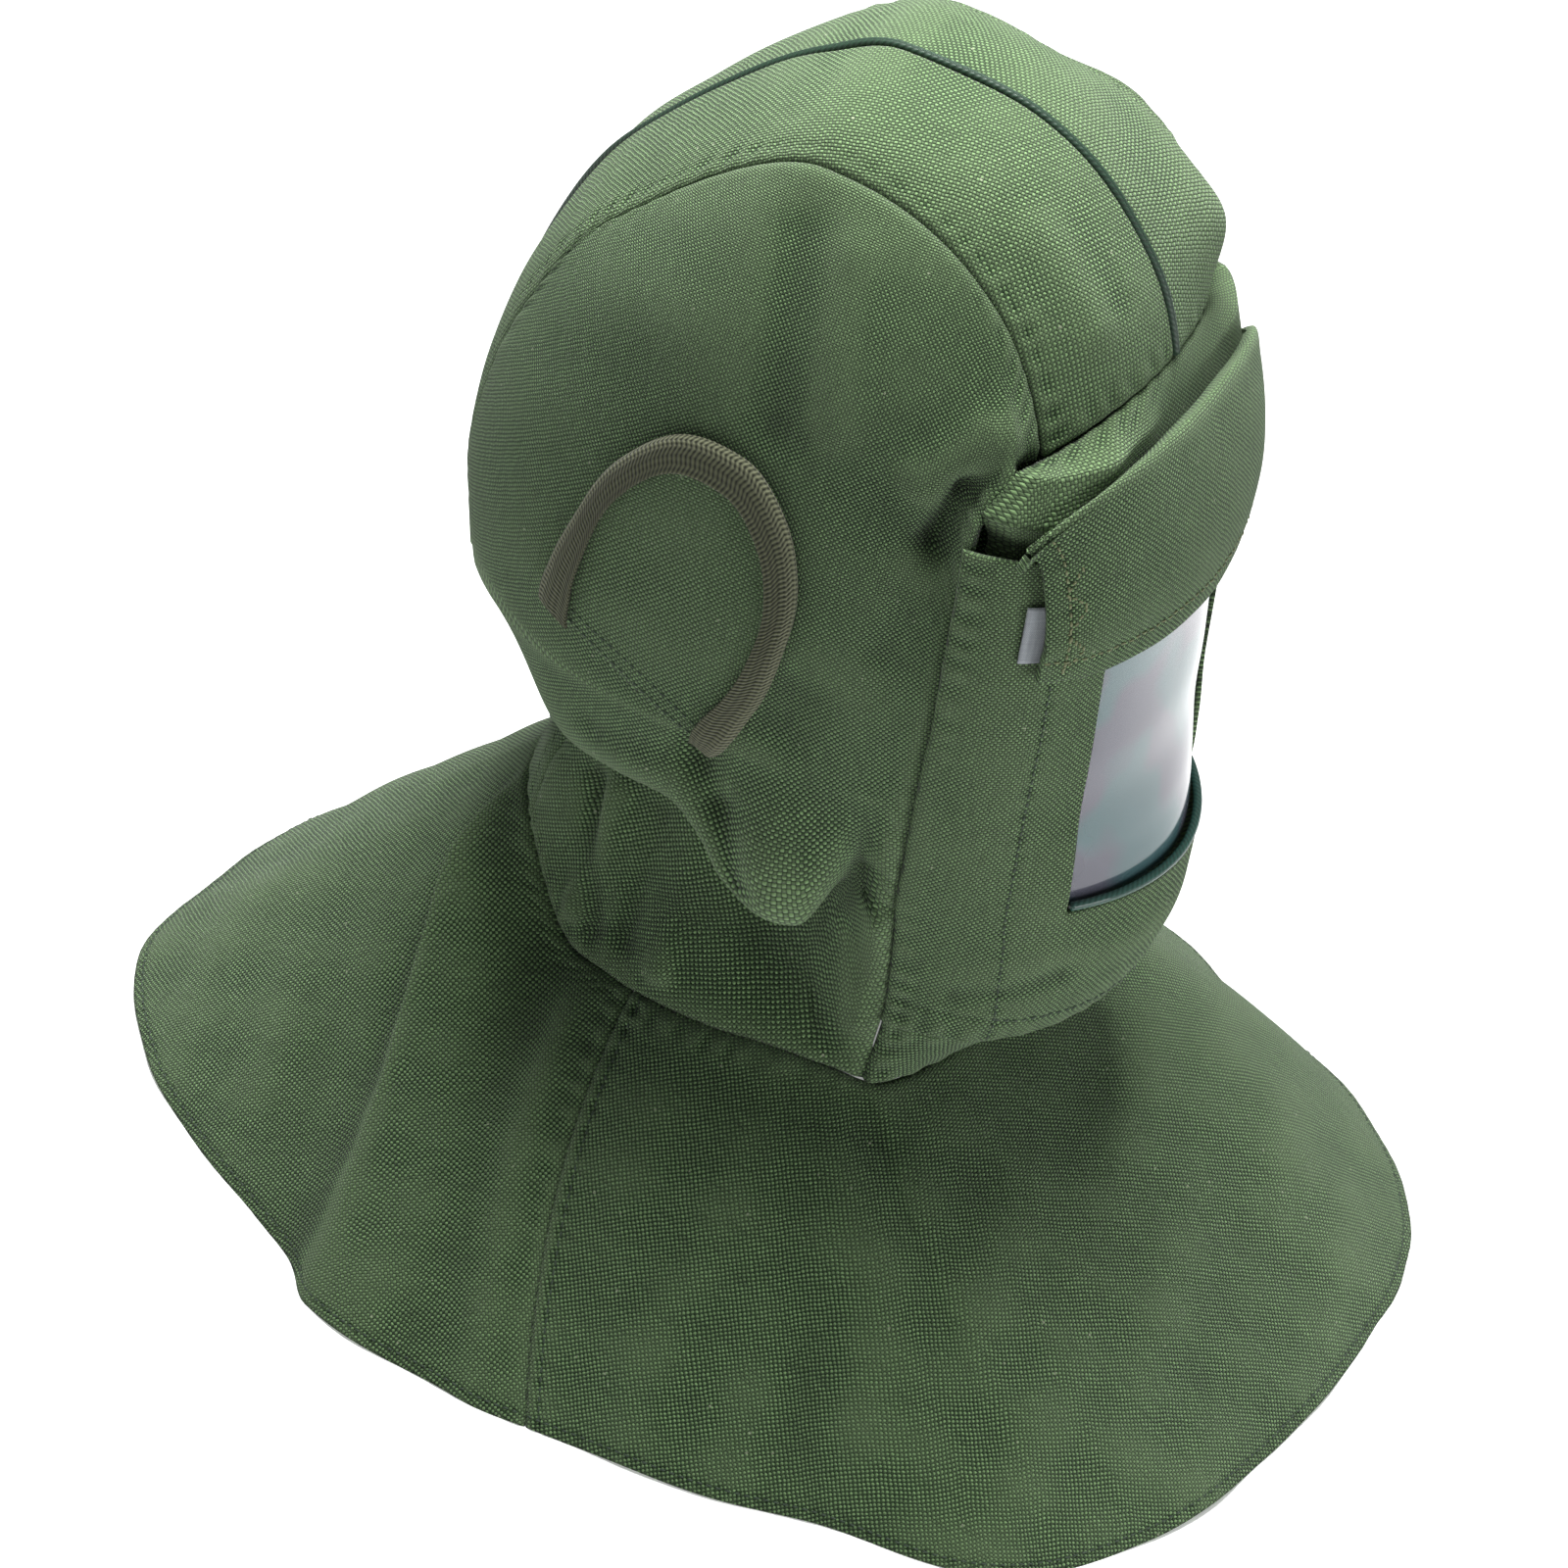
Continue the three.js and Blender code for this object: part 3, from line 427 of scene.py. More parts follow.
def front_point(row, col):
    """Point of the front panel: col 7 is the window's side edge and col 12 the side seam."""
    row, col = np.broadcast_arrays(np.asarray(row, float), np.asarray(col, float))
    size, step = front_size(row), np.abs(col)
    inner = WINDOW_HALF * col / WINDOW_COLS
    edge = np.arcsin(np.minimum(1, WINDOW_HALF / size["across"]) ** (size["round"] / 2))
    turn = mix(edge, np.pi / 2, np.clip((step - WINDOW_COLS) / (PANEL_COLS - WINDOW_COLS), 0, 1))
    outer = np.sign(col) * size["across"] * np.sin(turn) ** (2 / size["round"])
    depth = np.clip(np.cos(turn), 0, None) ** (2 / size["round"])
    y = np.where(step <= WINDOW_COLS, front_curve(size, inner), mix(size["along"], size["middle"], depth))
    return np.stack([np.where(step <= WINDOW_COLS, inner, outer), y, size["z"]], -1)


# %% [markdown]
# The side is the patch that these leave between them. It follows the head cover's own surface,
# and near its front and back edges it is pulled onto the seams.

# %%
def side_grid(side, rows, cols):
    """Side of the head from the crown seam to the neck seam, between the front and back seams."""
    v, u = np.linspace(0, 1, rows)[:, None], np.linspace(0, 1, cols)[None]
    first = polar(front_point(LAST_ROW, PANEL_COLS))[0]
    final = polar(crown_station(SEAM_ROWS, 1.0, side))[0]
    left = front_point(v[:, 0] * LAST_ROW, np.full(rows, float(PANEL_COLS)))
    corner = crown_station(0.0, 1.0, side) * np.array([-1 if side > 0 else 1, 1, 1])
    join = np.clip(1 - v[:, 0] * LAST_ROW, 0, 1)[:, None]
    left = polar(left + join * (corner - front_point(0, PANEL_COLS)))
    right = polar(crown_station(TOP_ROWS + v[:, 0] * LAST_ROW, np.ones(rows), side))
    top = polar(crown_station(u[0] * TOP_ROWS, np.ones(cols), side))

    def below_belly(angle):
        return lower_point(angle, np.broadcast_to(v, angle.shape))

    def reach_at(angle, z):
        return np.where(v > 0.5, polar(below_belly(angle))[1], head_reach(angle, z))

    def shift(grid, i):
        """Takes the grid's two sides onto their seams, less and less away from them."""
        return near_left * (left[i][:, None] - grid[:, :1]) + near_right * (right[i][:, None] - grid[:, -1:])

    t = np.minimum(1, v / TURNED_BY)
    angle = mix(top[0][None], mix(first, final, u), t * t * (3 - 2 * t))
    above = mix(top[2][None], BELLY_Z, np.minimum(v, 0.5) / 0.5)
    z = np.where(v > 0.5, below_belly(angle)[..., 2], above)
    near_left, near_right = [np.clip(1 - away / PULL, 0, 1) ** 1.5 for away in (u, 1 - u)]
    angle, z = angle + shift(angle, 0), z + shift(z, 2)
    spare = lambda edge: (edge[1] - reach_at(edge[0][:, None], edge[2][:, None])[:, 0])[:, None]
    reach = reach_at(angle, z) + near_left ** 3 * spare(left) + near_right ** 3 * spare(right)
    return dress(around(angle * side, reach, z))


# %% [markdown]
# ## Sheets
# A sheet is a grid of points on the cloth's outer face, a second one a wall's thickness
# inside, and a rim that closes them. Gentle waves and the puckers of a sewn seam are added on
# the way, because a swept surface alone looks like moulded plastic.

# %%
WAVE_COUNT, SHORT_WAVE, LONG_WAVE = 26, 9, 22
RNG = np.random.default_rng(7)
WAVES = [(RNG.normal(size=3) / RNG.uniform(SHORT_WAVE, LONG_WAVE), RNG.uniform(0, 2 * np.pi))
         for _ in range(WAVE_COUNT)]


def waves(points, high):
    """Gentle unevenness of hand-sewn cloth, a fraction of a millimetre."""
    return high * sum(np.sin(points @ k + phase) for k, phase in WAVES) / math.sqrt(len(WAVES))


def length(vectors):
    return np.linalg.norm(vectors, axis=-1)


def unit(vectors):
    return vectors / np.maximum(1e-9, length(vectors))[..., None]


def grid_normals(points):
    return unit(np.cross(np.gradient(points, axis=0), np.gradient(points, axis=1)))


def run_length(path):
    """Distance of each point of a path from its start."""
    return np.concatenate([[0], np.cumsum(length(np.diff(path, axis=0)))])


def from_edges(points):
    """Distance of every point from the top, bottom, left and right edge, along the grid."""
    down = np.vstack([np.zeros((1, points.shape[1])), np.cumsum(length(np.diff(points, axis=0)), 0)])
    over = np.hstack([np.zeros((points.shape[0], 1)), np.cumsum(length(np.diff(points, axis=1)), 1)])
    return {"t": down, "b": down[-1:] - down, "l": over, "r": over[:, -1:] - over}


def corner_points(mesh):
    """The number of the point at each face corner."""
    index = np.empty(len(mesh.loops), int)
    mesh.loops.foreach_get("vertex_index", index)
    return index


def add_mesh(name, points, faces, flat=None, wear_and_shade=None):
    """A mesh in metres in the model's frame, with its place on flat cloth and its ridges and hollows, which
    set wear and painted shade.
    """
    mesh = bpy.data.meshes.new(name)
    mesh.from_pydata(((points - ORIGIN) / 1000).tolist(), [], faces)
    if flat is not None:
        places = flat[corner_points(mesh)] / 1000
        mesh.uv_layers.new(name="cloth").data.foreach_set("uv", places.astype(np.float32).ravel())
    if wear_and_shade is not None:
        values = mesh.attributes.new("wear_and_shade", "FLOAT", "POINT").data
        values.foreach_set("value", wear_and_shade.astype(np.float32).ravel())
    mesh.polygons.foreach_set("use_smooth", [True] * len(mesh.polygons))
    mesh.update()
    made = bpy.data.objects.new(name, mesh)
    bpy.context.collection.objects.link(made)
    return made


def cells(ids):
    """The four corners of every cell of a grid."""
    return np.stack([ids[:-1, :-1], ids[1:, :-1], ids[1:, 1:], ids[:-1, 1:]], -1)


# %% [markdown]
# The weave has to run as it did when the piece was cut from flat cloth. So each grid is
# thinned, opened flat with Blender's own unwrap, and turned until the grid's downward
# direction is the cloth's. The same flat shape gives the size of the cut.

# %%
FLAT_LINES = 25


def lay_flat(points):
    """Place of every grid point on the flat cloth, in millimetres."""
    rows, cols = points.shape[:2]
    pick = [np.unique(np.linspace(0, n - 1, min(n, FLAT_LINES)).round().astype(int)) for n in (rows, cols)]
    coarse = points[np.ix_(*pick)]
    n, m = coarse.shape[:2]
    faces = cells(np.arange(n * m).reshape(n, m)).reshape(-1, 4).tolist()
    made = add_mesh("opened_flat", coarse.reshape(-1, 3), faces, flat=np.zeros((n * m, 2)))
    bpy.context.view_layer.objects.active = made
    made.select_set(True)
    bpy.ops.object.mode_set(mode="EDIT")
    bpy.ops.mesh.select_all(action="SELECT")
    bpy.ops.uv.unwrap(method="CONFORMAL", margin=0.0)
    bpy.ops.object.mode_set(mode="OBJECT")
    drawn = np.empty(2 * len(made.data.loops))
    made.data.uv_layers["cloth"].data.foreach_get("uv", drawn)
    flat = np.zeros((n * m, 2))
    flat[corner_points(made.data)] = drawn.reshape(-1, 2)
    flat = flat.reshape(n, m, 2)
    bpy.data.objects.remove(made)
    real = length(np.diff(coarse, axis=0)).sum() + length(np.diff(coarse, axis=1)).sum()
    flat *= real / (length(np.diff(flat, axis=0)).sum() + length(np.diff(flat, axis=1)).sum())
    way = flat[n // 2 + 1, m // 2] - flat[n // 2 - 1, m // 2]
    turn = math.atan2(way[0], way[1])
    spin = np.array([[math.cos(turn), math.sin(turn)], [-math.sin(turn), math.cos(turn)]])
    flat = flat @ spin
    at = [np.interp(np.arange(size), p, np.arange(len(p))) for size, p in zip((rows, cols), pick)]
    i, j = [np.minimum(a.astype(int), k - 2) for a, k in zip(at, (n, m))]
    s, t = (at[0] - i)[:, None, None], (at[1] - j)[None, :, None]
    corner = lambda di, dj: flat[np.ix_(i + di, j + dj)]
    return mix(mix(corner(0, 0), corner(0, 1), t), mix(corner(1, 0), corner(1, 1), t), s)


def blurred(values, reach):
    """Average over a square of neighbours, twice."""
    for _ in range(2):
        for axis in (0, 1):
            padding = [(reach + 1, reach) if a == axis else (0, 0) for a in range(values.ndim)]
            total = np.cumsum(np.pad(values, padding, mode="edge"), axis=axis)
            size = values.shape[axis]
            ahead, behind = np.arange(size) + 2 * reach + 1, np.arange(size)
            values = (np.take(total, ahead, axis) - np.take(total, behind, axis)) / (2 * reach + 1)
    return values


# %% [markdown]
# A sheet could get its thickness from a Solidify modifier. Here both faces are made at once,
# because each kind of edge needs its own small step: over the next piece, under it, or level.

# %%
SHEETS = {}
# How far the cloth rises at a kind of edge or line, and over what width.
OVER, UNDER, LEVEL, STITCHED = (1.1, 7), (-1.9, 2.6), (-0.9, 1.5), (-0.4, 1.1)
PUCKER = 0.45


def sheet(name, points, wall, seams="", sewn=(), hole=None, uneven=0.35, flat=None, proud="", sunk=""):
    """A wall of cloth from a grid of outer points. seams names the sides that are sewn to a
    neighbour and sewn the stitch lines, each a side and a distance from it. A proud side lies
    over its neighbour, and a sunk side runs under it."""
    rows, cols = points.shape[:2]
    edges, normal = from_edges(points), grid_normals(points)
    run = {"t": edges["l"], "b": edges["l"], "l": edges["t"], "r": edges["t"]}
    move = waves(points, uneven)
    for side in seams:
        d, s = edges[side], run[side]
        rise, wide = OVER if side in proud else UNDER if side in sunk else LEVEL
        move = move * (1 - 0.7 * fading(d, 4)) + rise * fading(d, wide)
        beat = np.sin(2 * np.pi * s / 9.5 + 2.2 * np.sin(s / 17) + 1.1 * np.sin(s / 6.3))
        move = move + PUCKER * beat * fading(d - 4.5, 4) * (0.5 + 0.5 * np.sin(s / 31 + 1))
    for side, inset in sewn:
        d, s = edges[side], run[side]
        move = move + STITCHED[0] * fading(d - inset, STITCHED[1])
        move = move + 0.5 * PUCKER * np.sin(s / 1.3 + 2 * np.sin(s / 11)) * fading(d - inset, 3)
    face = points + normal * move[..., None]
    for side, line, near in (("t", np.s_[0], np.s_[1]), ("b", np.s_[-1], np.s_[-2]),
                             ("l", np.s_[:, 0], np.s_[:, 1]), ("r", np.s_[:, -1], np.s_[:, -2])):
        if side in seams:
            face[line] += unit(points[near] - points[line]) * (GAP / 2 + 0.02)
            normal[line] = outward(points[line])
    back = face - normal * wall
    # Ridges and hollows of the face: ridges are later worn paler, and hollows get painted shade in the
    # canvas.
    wear_and_shade = ((face - blurred(face, 4)) * grid_normals(face)).sum(-1)
    keep = np.ones((rows - 1, cols - 1), bool)
    if hole is not None:
        keep[hole] = False
    corners, count = cells(np.arange(rows * cols).reshape(rows, cols)), rows * cols
    around_it = np.pad(keep, 1)
    faces = [corners[keep], corners[keep][:, ::-1] + count]
    for (a, b), other in (((0, 3), around_it[:-2, 1:-1]), ((2, 1), around_it[2:, 1:-1]),
                          ((1, 0), around_it[1:-1, :-2]), ((3, 2), around_it[1:-1, 2:])):
        edge = corners[keep & ~other]
        faces.append(np.stack([edge[:, a], edge[:, b], edge[:, b] + count, edge[:, a] + count], -1))
    flat = lay_flat(points) if flat is None else flat
    both = np.concatenate([face.reshape(-1, 3), back.reshape(-1, 3)])
    made = add_mesh(name, both, np.concatenate(faces).tolist(), wear_and_shade=np.concatenate([wear_and_shade.ravel()] * 2),
                    flat=np.concatenate([flat.reshape(-1, 2)] * 2))
    a, b = np.diff(points, axis=0), np.diff(points, axis=1)
    area = (length(np.cross(a[:, :-1], b[:-1])) + length(np.cross(a[:, 1:], b[1:]))) / 2
    cut = sorted(np.ptp(flat.reshape(-1, 2), axis=0) / 1000)
    SHEETS[name] = {"face": face, "normal": grid_normals(face), "cut": cut, "area": area[keep].sum() / 1e6}
    return made


# %% [markdown]
# Piping and stitches are round bars along a path. A curve with a bevel would do it too, but the piping needs
# its flat places for the twist of the thread.

# %%
def rod(path, up, across, radius, sides, first_id=0):
    """Points and faces of a closed round bar along a path."""
    turn = np.linspace(0, 2 * np.pi, sides, endpoint=False)[:, None]
    points = path[:, None] + radius * (up[:, None] * np.cos(turn) + across[:, None] * np.sin(turn))
    ids = first_id + np.arange(len(path) * sides).reshape(-1, sides)
    beyond = np.roll(ids, -1, 1)
    faces = np.stack([ids[:-1], beyond[:-1], beyond[1:], ids[1:]], -1).reshape(-1, 4).tolist()
    return points.reshape(-1, 3), faces + [ids[0][::-1].tolist(), ids[-1].tolist()]


def cord(name, path, radius, sides=12):
    """A round cord along a path."""
    run = unit(np.gradient(path, axis=0))
    up = outward(path)
    up = unit(up - run * (up * run).sum(-1, keepdims=True))
    points, faces = rod(path, up, np.cross(run, up), radius, sides)
    turn = np.linspace(0, 2 * np.pi, sides, endpoint=False)
    flat = stacked(turn * radius, run_length(path)[:, None]).reshape(-1, 2)
    return add_mesh(name, points, faces, flat=flat)


# %% [markdown]
# ## Head cover
# Two strips form the crown, with piping between them. The sides hang from the strips, run
# over the belly and tuck in under it to the neck. Every edge is worked out from the same
# station as its neighbour's, so the seams meet to a fraction of a millimetre.

# %%
CROWN_ROWS, CROWN_COLS, SIDE_CELLS = 264, 42, 200
STRIP_WIDTH, CROWN_STITCH = 52, 5.5
HANDS = (("right", 1), ("left", -1))
rows = np.linspace(0, SEAM_ROWS, CROWN_ROWS + 1)[:, None]
share = np.linspace((PIPING + GAP) / STRIP_WIDTH, 1, CROWN_COLS + 1)[None]
made = {}
for hand, side in HANDS:
    grid = dress(crown_station(rows, share, side))
    name = f"crown_cloth_{hand}"
    seam = "r" if side > 0 else "l"
    made[name] = sheet(name, grid if side > 0 else grid[:, ::-1], CLOTH, seams="tb" + seam,
                       sewn=((seam, CROWN_STITCH),))

piping_line = dress(crown_station(np.linspace(0.12, SEAM_ROWS - 0.9, 400), np.zeros(400), 1))
made["crown_piping_cord"] = cord("crown_piping_cord", piping_line, PIPING)

side_points = {}
for hand, side in HANDS:
    grid = side_grid(side, SIDE_CELLS + 1, SIDE_CELLS + 1)
    side_points[hand] = grid
    name = f"side_cloth_{hand}"
    made[name] = sheet(name, grid[:, ::-1] if side > 0 else grid, CLOTH, seams="tblr",
                       sunk="r" if side > 0 else "l")
print("head cover:", {name: round(info["area"], 4) for name, info in SHEETS.items()})

# %% [markdown]
# ## Front panel, chin, brow band and clear pane
# The front panel has a hole for the pane, which slips into the pocket behind it. The chin
# gusset closes the front under the panel, and the brow band runs down behind it.

# %%
ROW_STEPS, COL_STEPS = 10, 8
CHIN_STITCH, STRIP_STITCH = 12, 36


def panel(top, bottom):
    """Part of the front between two rows of its table."""
    down = np.linspace(top, bottom, (bottom - top) * ROW_STEPS + 1)[:, None]
    over = np.linspace(-PANEL_COLS, PANEL_COLS, 2 * PANEL_COLS * COL_STEPS + 1)[None]
    return dress(front_point(down, over))


window = (slice((WINDOW_TOP - PANEL_TOP) * ROW_STEPS, (WINDOW_BOTTOM - PANEL_TOP) * ROW_STEPS),
          slice((PANEL_COLS - WINDOW_COLS) * COL_STEPS, (PANEL_COLS + WINDOW_COLS) * COL_STEPS))
made["front_cloth"] = sheet(
    "front_cloth", panel(PANEL_TOP, CHIN), CLOTH, seams="blr", proud="blr", hole=window,
    sewn=(("b", CHIN_STITCH), ("l", STRIP_STITCH), ("r", STRIP_STITCH)))
made["chin_cloth"] = sheet("chin_cloth", panel(CHIN, LAST_ROW), CLOTH, seams="tblr", sunk="t")

# %%
BAND_HIDDEN = table("z across along middle round", (338, 74, -69, -103, 2.2), (326, 73, -69, -103, 2.2))
share = np.linspace(0, 1, 49)
brow_top = np.concatenate([dress(crown_station(np.zeros(49), share, 1))[::-1],
                           dress(crown_station(np.zeros(49), share, -1))[1:]])


def brow_row(size):
    """A level row of the band, as wide as the size says and spaced as the top edge is."""
    x = size["across"] * (2 * (brow_top[:, 0] - brow_top[0, 0]) / np.ptp(brow_top[:, 0]) - 1)
    return dress(np.stack([x, front_curve(size, x), np.full(len(x), float(size["z"]))], -1))


shown = [{name: float(v) for name, v in front_size(np.array(float(row))).items()} for row in (1, 2)]
hidden = [{name: BAND_HIDDEN[name][i] for name in BAND_HIDDEN} for i in (0, 1)]
levels = np.array([brow_top] + [brow_row(size) for size in shown + hidden])
at = np.linspace(0, 4, 41)
low = np.minimum(at.astype(int), 3)
band = mix(levels[low], levels[low + 1], (at - low)[:, None, None])
made["brow_band_cloth"] = sheet("brow_band_cloth", band, CLOTH, seams="tlr")

# %% [markdown]
# The pane is one bent sheet that stands a little back from the panel, and the cord lies on the
# window's lower edge in front of it.

# %%
# How far the pane stands back from the panel, by row of the front's table.
STAND_BACK = table("row back", (5, 2.7), (6, 2.6), (7, 2.5), (8, 2.5), (9, 3), (10, 4), (11, 4.4))
PANE_MARGIN, PANE_NARROWER = 7, 2.4
PANE_HALF = WINDOW_HALF + PANE_MARGIN
x, row = np.linspace(-PANE_HALF, PANE_HALF, 81)[None], np.linspace(5, 11, 49)[:, None]
size = front_size(row)
size["across"] = size["across"] - PANE_NARROWER
size["middle"] = size["middle"] + through(STAND_BACK["row"], STAND_BACK["back"], row)
made["clear_pane"] = sheet("clear_pane", stacked(x, front_curve(size, x), size["z"]), PANE, uneven=0.12)

RIM_POINTS, RIM_SHARE = 160, 0.965
across = np.linspace(-WINDOW_COLS, WINDOW_COLS, RIM_POINTS) * RIM_SHARE
rim = dress(front_point(np.full(RIM_POINTS, float(WINDOW_BOTTOM)), across))
rim = rim - outward(rim) * CLOTH / 2 + np.array([0, 0, RIM + GAP])
made["window_rim"] = cord("window_rim", rim, RIM)

# %% [markdown]
# ## Brow flap, ear flaps and label
# The flap is a doubled band that covers the top of the pane. Each ear flap is cut as an arch
# with woven tape folded over its edge, and lies on the side of the head.

# %%
q, share = np.linspace(0, 1, 57)[:, None], np.linspace(-1, 1, 181)[None]
size = {name: through(FLAP["q"], FLAP[name], q) for name in FLAP if name != "q"}
turn = np.radians(share * size["span"])
drop = np.where(share < 0, DROP_RIGHT * np.abs(share) ** 3, DROP_LEFT * share ** 2)
flap = stacked(np.sign(turn) * size["across"] * np.abs(np.sin(turn)) ** (2 / FLAP_ROUND),
               mix(size["along"], size["middle"], np.cos(turn) ** (2 / FLAP_ROUND)),
               size["z"] - (1 - q) * drop)
FLAP_STITCH, FLAP_END_STITCH = 9, 8
made["brow_flap_cloth"] = sheet(
    "brow_flap_cloth", flap, DOUBLED, uneven=0.5,
    sewn=(("b", FLAP_STITCH), ("l", FLAP_END_STITCH), ("r", FLAP_END_STITCH)))

# %% [markdown]
# The ear flaps are placed by a direction round the head and a height, then lifted off the side
# along its own normal. The tape's five rows go from the flap's face over its edge to below it.

# %%
EAR_CLEAR, EAR_BULGE, EAR_INSET = 1.2, 0.8, 0.4
EAR_LIFT = EAR_CLEAR + CLOTH
TAPE_LIFT = EAR_LIFT + GAP + TAPE


def ear_point(side, across, up, lift):
    """Point on the side of the head, across and up from the ear's middle, lifted off it."""
    angle = np.radians(EAR_DEG - across / EAR_SIDE)

    def at(turned, raised):
        z = EAR_Z + up + raised
        return dress(around((angle + turned) * side, head_reach(angle + turned, z), z))

    point = at(0, 0)
    normal = unit(np.cross(at(0.02, 0) - point, at(0, 2) - point)) * -side
    return point + normal * np.asarray(lift)[..., None]


def arch(share, inset):
    """Place on the arch's edge, or inside it by an inset, as a distance across and up."""
    turn = mix(EAR_ARCH["turn"][0], EAR_ARCH["turn"][-1], share)
    reach = through(EAR_ARCH["turn"], EAR_ARCH["reach"], turn) - inset
    return reach * np.cos(np.radians(turn)), reach * np.sin(np.radians(turn))


TAPE_EDGE = table("inset lift", (TAPE_WIDTH, 0), (TAPE_WIDTH / 2, 0.15), (0.5, 0), (-1.7, -0.7),
                  (-2.1, -2.6))
TAPE_STEP = 4.2
for hand, side in HANDS:
    share, up = np.linspace(0, 1, 81)[None], np.linspace(1, 0, 41)[:, None]
    top, ends = arch(share, EAR_INSET), [arch(np.array(s), EAR_INSET) for s in (0.0, 1.0)]
    base = [mix(ends[0][k], ends[1][k], share) for k in (0, 1)]
    across, height = [mix(base[k], top[k], up) for k in (0, 1)]
    grid = ear_point(side, across, height, EAR_LIFT + EAR_BULGE * np.sin(np.pi * up) * np.sin(np.pi * share))
    flat = np.stack([across * side, -height], -1)
    turned = slice(None, None, 1 if side < 0 else -1)
    name = f"ear_flap_cloth_{hand}"
    made[name] = sheet(name, grid[:, turned], CLOTH, uneven=0.25, flat=flat[:, turned])
    step, share = np.linspace(0, 4, 25)[:, None], np.linspace(0, 1, 161)[None]
    across, height = arch(share, through(np.arange(5), TAPE_EDGE["inset"], step))
    lift = TAPE_LIFT + through(np.arange(5), TAPE_EDGE["lift"], step) + 0 * share
    grid = ear_point(side, across, height, lift)
    flat = stacked(run_length(grid[8])[None], step * TAPE_STEP)
    name = f"ear_tape_{hand}"
    made[name] = sheet(name, grid[:, turned], TAPE, uneven=0.2, flat=flat[:, turned])

# %%
LABEL_OUT = 0.6
x, z = np.linspace(-78.4, -70.8, 13)[None], np.linspace(322, 300, 21)[:, None]
tag = {"across": 84.8, "along": -66.0, "middle": -115.6, "round": 2.2}
grid = stacked(x - LABEL_OUT, front_curve(tag, x) - LABEL_OUT, z)
made["blank_label"] = sheet("blank_label", grid, LABEL, uneven=0.15)

# %% [markdown]
# ## Cape
# Two panels hang from the neck seam and meet at the shoulder seams. They spread over the
# table to the hem, and their folds open towards it.

# %%
SHOULDER = round(11 / 20 * SIDE_CELLS)


def evenly(path, count):
    """The same path with its points at equal distances."""
    far = run_length(path)
    return np.stack([np.interp(np.linspace(0, far[-1], count), far, path[:, k]) for k in range(3)], -1)


def cape_grid(ring, rows):
    """Cape from its ring at the neck seam down to the hem, with its folds."""
    t, start = np.linspace(0, 1, rows + 1)[:, None], np.arctan2(-ring[:, 0], AXIS_Y - ring[:, 1])
    deg = np.degrees(start)
    fold = 0
    for at_ring, at_hem, front, rear, first, last in zip(*CAPE_FOLDS.values()):
        off = deg - mix(at_ring, at_hem, 1 - (1 - t) ** 3)
        ridge = fading(off, np.where(off > 0, rear, front))
        fold = fold + mix(first, last, t) * ridge * np.minimum(1, t / 0.15)
    hem = {name: through(HEM["ring"], HEM[name], deg) for name in ("deg", "reach", "rise")}
    reach = mix(np.hypot(ring[:, 0], ring[:, 1] - AXIS_Y), hem["reach"], t) + fold
    z = ring[:, 2] * (1 - t) + hem["rise"] * np.sin(np.pi * t)
    return around(mix(start, np.radians(hem["deg"]), t), reach, z)


right, left = side_points["right"][-1], side_points["left"][-1]
chin = panel(CHIN, LAST_ROW)[-1]
share = np.linspace(0, 1, 25)
nape = np.concatenate([dress(crown_station(np.full(25, float(SEAM_ROWS)), share, -1))[::-1],
                       dress(crown_station(np.full(25, float(SEAM_ROWS)), share, 1))[1:]])
front_ring = np.concatenate([right[:SHOULDER + 1][::-1], chin[1:-1], left[:SHOULDER + 1]])
back_ring = np.concatenate([left[SHOULDER:-1], nape, right[SHOULDER:-1][::-1]])
CAPE_ROWS, HEM_STITCH, SHOULDER_STITCH = 110, 4, 5
for name, ring, count, sewn in (
        ("cape_cloth_front", front_ring, 353,
         (("b", HEM_STITCH), ("l", SHOULDER_STITCH), ("r", SHOULDER_STITCH))),
        ("cape_cloth_back", back_ring, 301, (("b", HEM_STITCH),))):
    made[name] = sheet(name, cape_grid(evenly(ring, count), CAPE_ROWS), CLOTH, seams="tlr", sewn=sewn,
                       uneven=0.9)
print("sheets made:", len(SHEETS))

# %% [markdown]
# ## Stitches
# Each stitch is a small bead of thread that dives into the cloth at both ends, set at a
# sewing machine's pitch along a line at a given distance from an edge.

# %%
def beside(name, side, inset, start=0.0, end=1.0):
    """Path and outward direction along a sheet's edge, at a distance from it."""
    info = SHEETS[name]
    turned = {"t": lambda g: g, "b": lambda g: g[::-1], "l": lambda g: g.transpose(1, 0, 2),
              "r": lambda g: g.transpose(1, 0, 2)[::-1]}[side]
    face, normal = turned(info["face"]), turned(info["normal"])
    far = np.vstack([np.zeros((1, face.shape[1])), np.cumsum(length(np.diff(face, axis=0)), 0)])
    columns = range(round(start * (face.shape[1] - 1)), round(end * (face.shape[1] - 1)) + 1)
    read = lambda grid, j: [np.interp(inset, far[:, j], grid[:, j, k]) for k in range(3)]
    return np.array([read(face, j) for j in columns]), unit(np.array([read(normal, j) for j in columns]))


PITCH, SHOWN = 3.3, 0.68
# A stitch from end to end: its place in its length, thickness, and height over the cloth.
BEAD = table("place thick height", (-0.5, 0.25, -0.35), (-0.32, 1, 0.12), (0.32, 1, 0.12), (0.5, 0.25, -0.35))
BEAD_SIDES = 6
BEAD_POINTS = BEAD_SIDES * len(BEAD["place"])


